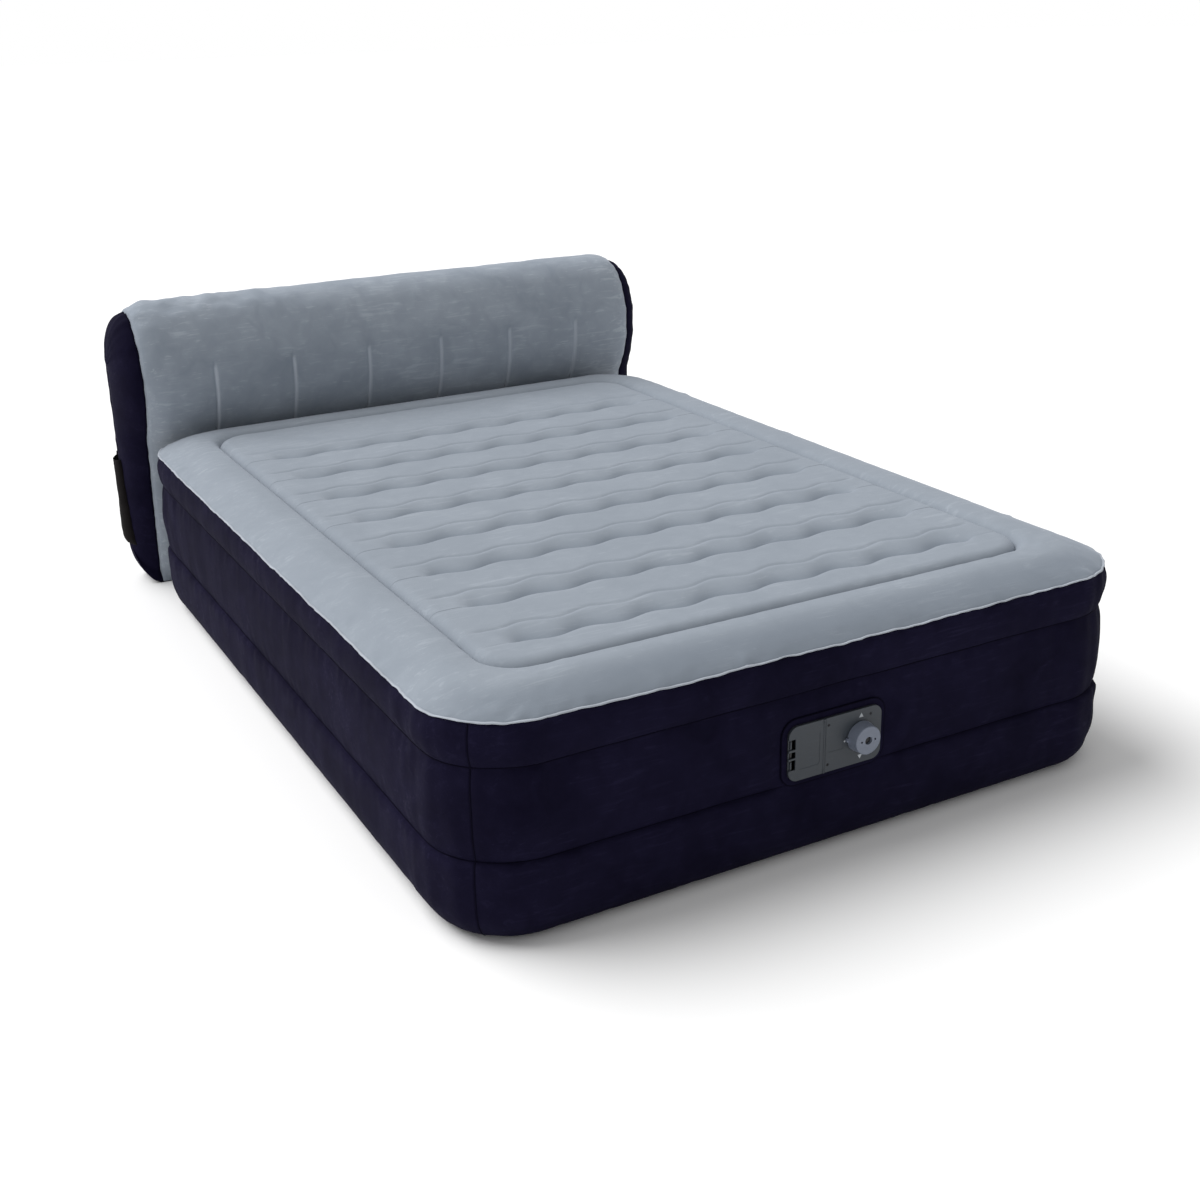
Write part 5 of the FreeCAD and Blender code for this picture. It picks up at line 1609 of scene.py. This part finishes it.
        def dome(place: Vector) -> Vector:
            """Where a vertex of the plain tube goes on the dome.

            Args:
                place: The vertex, whose X counts the rings.

            Returns:
                Its new place.
            """
            share = 1.0 - math.cos(math.pi / 2.0 * min(1.0, place.x / step / rings))
            edge = self.settle(Vector((side * self.half_width, place.y, place.z)))
            up = min(0.64, max(0.13, edge.z))
            core = Vector((0.0, self.outline.head + 0.163 - 0.075 * up, up))
            soft = 0.0016 * (1.0 - share) * ripple(Vector((side, place.y, place.z)), (1.0, 0.07, 0.09), 33.0)
            rise = (self.dome + soft * 2.0) * math.sqrt(1.0 - (1.0 - share) ** 2)
            flat = edge.lerp(core, share)
            return Vector((edge.x + side * rise, flat.y, flat.z))

        pushed(mesh, dome)
        bmesh.ops.remove_doubles(mesh, verts=mesh.verts, dist=0.0004)
        face_outwards(mesh, self.heart)
        self.shells[side] = BVHTree.FromBMesh(mesh)
        name = "left" if side < 0.0 else "right"
        piece = finish_mesh(mesh, f"headboard_{name}_dome")
        thicken(piece, self.skin)
        return piece

    def build(self, shop: Shop) -> None:
        """Makes the skins, the end seams and the inner ties, and dresses them.

        Args:
            shop: What dresses the pieces and sets them on their bodies.
        """
        front, back = self.prepare()
        loop = front + back[1:-1]
        piece = self._skin(front, "headboard_front_skin")
        shop.place(piece, GREY_UPRIGHT, "grey_flock", replaces=("headboard_front_panel",), fill=0.9)
        piece = self._skin(back, "headboard_back_skin")
        shop.place(piece, NAVY_FLOCK, "navy_flock", replaces=("headboard_back_panel",), fill=0.9)
        for side, name in ((-1.0, "left"), (1.0, "right")):
            shop.place(self._end(loop, side), NAVY_FLOCK, "navy_flock",
                       replaces=(f"headboard_end_{name}",), fill=0.9)
            line = [self.settle(Vector((side * self.half_width, point.y, point.z))) for point in loop]
            shop.place(bead(line, 0.0013, f"headboard_{name}_weld"), NAVY_WELD, "navy_flock")
        self._inner_ties(loop, shop)

    def end_at(self, side: float, along: float, up: float) -> float:
        """How far out from the middle an end's skin stands, at a place along the bed and up.

        Args:
            side: -1 for the left end, 1 for the right.
            along: The place along the bed.
            up: The height.

        Returns:
            The distance from the middle.
        """
        start = Vector((side * (self.half_width + self.dome), along, up))
        outside = start + Vector((side * 0.1, 0.0, 0.0))
        hit, _, _, _ = self.shells[side].ray_cast(outside, Vector((-side, 0.0, 0.0)))
        if hit is None:
            hit, _, _, _ = self.shells[side].find_nearest(start)
        return abs(hit.x)

    def _inner_ties(self, loop: list[Vector], shop: Shop) -> None:
        """Makes the webs inside that hold the two skins together.

        Args:
            loop: The whole section at the left end.
            shop: What dresses the pieces and sets them on their bodies.
        """
        mesh = bmesh.new()
        for tie in self.ties:
            points = []
            for point in loop:
                normal = self.normal_at(point)
                up = min(self.tie_top, max(self.tie_low, point.z))
                points.append(Vector((tie, point.y - self.tie_inset * normal[0], up)))
            mesh.faces.new(chain(mesh, points, closed=True)[:len(points)])
        bmesh.ops.remove_doubles(mesh, verts=mesh.verts, dist=SAME_POINT)
        piece = finish_mesh(mesh, "headboard_webs", smooth_faces=False)
        thicken(piece, WEB_THICKNESS)
        shop.place(piece, INNER_FILM, "inner_film", replaces=("headboard_ties",))


@dataclass
class Pocket:
    """A flat cloth pocket on one end of the headboard, open at the top."""

    board: Headboard
    side: str
    hem: float = 0.022
    stand_off: float = 0.014
    rivet: float = 0.0035
    rivet_at: Point = (0.016, 0.024)

    def build(self, shop: Shop) -> None:
        """Makes the pouch with its hem and rivet, and dresses them.

        Args:
            shop: What dresses the pieces and sets them on their bodies.
        """
        node = f"pocket_{self.side}"
        sign = -1.0 if self.side == "left" else 1.0
        low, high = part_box(node)
        middle = Vector((0.0, (low[1] + high[1]) / 2.0, (low[2] + high[2]) / 2.0))
        half_along, half_up = (high[1] - low[1]) / 2.0, (high[2] - low[2]) / 2.0
        mesh = bmesh.new()
        bmesh.ops.create_grid(mesh, x_segments=28, y_segments=56, size=1.0)

        def settle(place: Vector) -> Vector:
            """Where a vertex of the grid goes on the pouch.

            Args:
                place: A vertex of the plain grid, from -1 to 1 each way.

            Returns:
                Its new place.
            """
            side_fall = 1.0 - abs(place.x) ** 5
            low_fall = 1.0 - max(0.0, -place.y) ** 9
            band = smooth((place.y - 1.0 + self.hem / half_up) / 0.02)
            away = 0.0006 + self.stand_off * side_fall ** 0.6 * low_fall ** 0.6 + 0.0012 * band
            away += 0.0009 * ripple(Vector((place.x, place.y, 0.0)), (0.5, 0.3, 1.0), 3.0)
            sag = -0.004 * (1.0 - place.x ** 2) * max(0.0, place.y) ** 6
            along, up = middle.y + place.x * half_along, middle.z + place.y * half_up
            return Vector((sign * (self.board.end_at(sign, along, up) + away), along, up + sag))

        pushed(mesh, settle)
        face_outwards(mesh, Vector((0.0, middle.y, middle.z)))
        piece = finish_mesh(mesh, f"{node}_pouch")
        thicken(piece, 0.0015)
        shop.place(piece, POCKET_CLOTH, "pocket_cloth", replaces=(node,))
        rivet = bmesh.new()
        bmesh.ops.create_uvsphere(rivet, u_segments=20, v_segments=10, radius=self.rivet)
        spot = Vector((0.0, high[1] - self.rivet_at[0], low[2] + self.rivet_at[1]))
        spot.x = sign * (self.board.end_at(sign, spot.y, spot.z) + 0.8 * self.stand_off)
        bmesh.ops.scale(rivet, vec=(0.5, 1.0, 1.0), verts=rivet.verts)
        bmesh.ops.translate(rivet, vec=spot, verts=rivet.verts)
        shop.place(finish_mesh(rivet, f"{node}_rivet"), PALE_PRINT, "pocket_cloth")


# ---------------------------------------------------------------- pump
@dataclass
class PumpDress:
    """The pump's finishes, its soft surround and the plain marks on its plate."""

    walls: Walls
    knob_across: float = 0.058
    dot_beside: float = 0.037
    dot_height: float = 0.228
    dot: float = 0.0022
    arrow_beside: float = 0.042
    arrow: float = 0.0058
    print_depth: float = 0.0015

    def build(self, shop: Shop) -> None:
        """Dresses the pump's parts and adds the surround and the marks.

        Args:
            shop: What dresses the pieces and sets them on their bodies.
        """
        shop.dress(("pump_flange",), NAVY_FLOCK)
        shop.dress(("faceplate", "cord_door"), PLATE_PLASTIC)
        shop.dress(("control_knob", "knob_spindle", "impeller", "switch_button"), KNOB_PLASTIC)
        shop.dress(("pump_housing", "cord_tray", "knob_cap", "diverter_drum", "diverter_sleeve",
                    "scroll_case", "scroll_cover", "valve_cage", "switch_body"), HOUSING_PLASTIC)
        shop.dress(("faceplate_gasket", "cord_gland", "valve_seat", "valve_disc"), SOFT_RUBBER)
        shop.dress(("faceplate_screws",), BLACK_STEEL)
        shop.dress(("door_hinge_pin", "motor_can", "motor_shaft", "motor_rotor"), STEEL)
        shop.dress(("motor_bushes",), BRASS)
        shop.dress(("rim_beam", "upper_girdle", "lower_girdle", "air_transfer_tube"), INNER_FILM)
        self._spring(shop)
        self._surround(shop)
        self._marks(shop)

    def _spring(self, shop: Shop) -> None:
        """Makes the valve's spring again from the CAD coil, with its doubled points merged.

        Args:
            shop: What dresses the pieces and sets them on their bodies.
        """
        joint = next(joint for joint in frame["joints"] if joint["name"] == "valve_lift")
        low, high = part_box("valve_spring")
        held_at = joint["deforming_nodes"][0]["fixed_end_y_m"]
        mesh = bmesh.new()
        mesh.from_mesh(frame["nodes"]["valve_spring"].data)
        bmesh.ops.remove_doubles(mesh, verts=mesh.verts, dist=0.000001)
        piece = finish_mesh(mesh, "valve_spring_coil")
        shop.place(piece, STEEL, "steel", replaces=("valve_spring",))
        1.0 - joint["range_m"][1] / (held_at - low[1])
        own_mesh(piece)

    def _surround(self, shop: Shop) -> None:
        """Makes the soft welded ridge round the pump's flange.

        Args:
            shop: What dresses the pieces and sets them on their bodies.
        """
        low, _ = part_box("pump_flange")
        radius = self.walls.plate_radius
        across, up = (half - radius for half in self.walls.plate_half)
        line = []
        for quarter, (side, end) in enumerate(((1.0, 1.0), (-1.0, 1.0), (-1.0, -1.0), (1.0, -1.0))):
            for share in (0.0, *even(10)):
                turn = math.pi / 2.0 * (quarter + share)
                line.append(Vector((side * across + radius * math.cos(turn), low[1] + 0.0012,
                                    self.walls.pump_height + end * up + radius * math.sin(turn))))
        shop.place(bead(line, 0.0017, "pump_surround_weld"), NAVY_WELD, "navy_flock")

    def _marks(self, shop: Shop) -> None:
        """Prints the pointer's dot and two plain arrowheads beside the knob.

        Args:
            shop: What dresses the pieces and sets them on their bodies.
        """
        low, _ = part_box("faceplate")
        face = low[1] + self.print_depth
        high = self.walls.pump_height + self.arrow_beside
        deep = self.walls.pump_height - self.arrow_beside
        marks = [(Vector((self.knob_across - self.dot_beside, face, self.dot_height)), 16, self.dot, 0.0),
                 (Vector((self.knob_across, face, high)), 3, self.arrow, 0.0),
                 (Vector((self.knob_across, face, deep)), 3, self.arrow, math.pi)]
        mesh = bmesh.new()
        for spot, sides, radius, turn in marks:
            upright = Matrix.Rotation(turn, 4, "Y") @ Matrix.Rotation(math.pi / 2.0, 4, "X")
            bmesh.ops.create_circle(mesh, cap_ends=True, segments=sides, radius=radius,
                                    matrix=Matrix.Translation(spot) @ upright)
        piece = finish_mesh(mesh, "plate_marks", smooth_faces=False)
        thicken(piece, 0.0003)
        shop.place(piece, PALE_PRINT, "plate_plastic")


# ---------------------------------------------------------------- studio
@dataclass
class View:
    """The floor, the light and the camera."""

    place: Colour = (-1.574, -3.2091, 1.518)
    yaw: float = 28.10
    pitch: float = 21.35
    roll: float = -1.47
    lens: float = 45.42
    key_from: Colour = (-0.55, 0.60, 1.0)
    key: float = 2.98
    spread: float = 50.0
    fill: float = 0.52
    floor_half: float = 60.0
    floor_drop: float = 0.0008

    def build(self) -> None:
        """Sets the floor, the sun, the sky and the camera."""
        mesh = bmesh.new()
        bmesh.ops.create_grid(mesh, x_segments=8, y_segments=8, size=self.floor_half,
                              matrix=Matrix.Translation((0.0, 0.0, -self.floor_drop)))
        floor = finish_mesh(mesh, "studio_floor")
        floor.data.materials.append(Studio().build())
        self._light()
        self._sky()
        self._camera()

    def _light(self) -> None:
        """Adds the one broad key light."""
        lamp = bpy.data.lights.new("key", "SUN")
        lamp.energy = self.key
        lamp.angle = math.radians(self.spread)
        key = bpy.data.objects.new("key", lamp)
        key.rotation_euler = Vector(self.key_from).to_track_quat("Z", "Y").to_euler()
        bpy.context.scene.collection.objects.link(key)

    def _sky(self) -> None:
        """Sets an even sky that the camera sees as white."""
        world = bpy.data.worlds.new("studio")
        world.use_nodes = True
        tree = world.node_tree
        soft = tree.nodes["Background"]
        soft.inputs["Color"].default_value = (1.0, 1.0, 1.0, 1.0)
        soft.inputs["Strength"].default_value = self.fill
        white = tree.nodes.new("ShaderNodeBackground")
        white.inputs["Color"].default_value = (1.0, 1.0, 1.0, 1.0)
        white.inputs["Strength"].default_value = 1.0
        choice = tree.nodes.new("ShaderNodeMixShader")
        rays = tree.nodes.new("ShaderNodeLightPath")
        tree.links.new(rays.outputs["Is Camera Ray"], choice.inputs[0])
        tree.links.new(soft.outputs[0], choice.inputs[1])
        tree.links.new(white.outputs[0], choice.inputs[2])
        tree.links.new(choice.outputs[0], tree.nodes["World Output"].inputs[0])
        bpy.context.scene.world = world
        bpy.context.scene.view_settings.view_transform = "Standard"

    def _camera(self) -> None:
        """Sets the camera."""
        yaw, pitch, roll = (math.radians(angle) for angle in (self.yaw, self.pitch, self.roll))
        ahead = Vector((math.sin(yaw) * math.cos(pitch), math.cos(yaw) * math.cos(pitch), -math.sin(pitch)))
        right = Vector((math.cos(yaw), -math.sin(yaw), 0.0))
        above = right.cross(ahead)
        level = Matrix((right, above, -ahead)).transposed().to_4x4()
        lens = bpy.data.cameras.new("camera")
        lens.lens = self.lens
        lens.sensor_width = 36.0
        lens.clip_end = 200.0
        camera = bpy.data.objects.new("camera", lens)
        camera.matrix_world = Matrix.Translation(self.place) @ level @ Matrix.Rotation(roll, 4, "Z")
        bpy.context.scene.collection.objects.link(camera)
        bpy.context.scene.camera = camera


def main() -> None:
    """Builds every sub-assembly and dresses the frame."""
    logging.basicConfig(level=logging.INFO, format="%(name)s: %(message)s")
    shop = Shop()
    outline = Outline()
    board = Headboard(outline)
    quilt = QuiltedTop(outline)
    quilt.build(shop)
    quilt.webs(shop)
    Rim(outline, board).build(shop)
    walls = Walls(outline)
    walls.build(shop)
    board.build(shop)
    for side in ("left", "right"):
        Pocket(board, side).build(shop)
    PumpDress(walls).build(shop)
    View().build()
    LOG.info("%d pieces placed", shop.pieces)


if __name__ == "__main__":
    main()
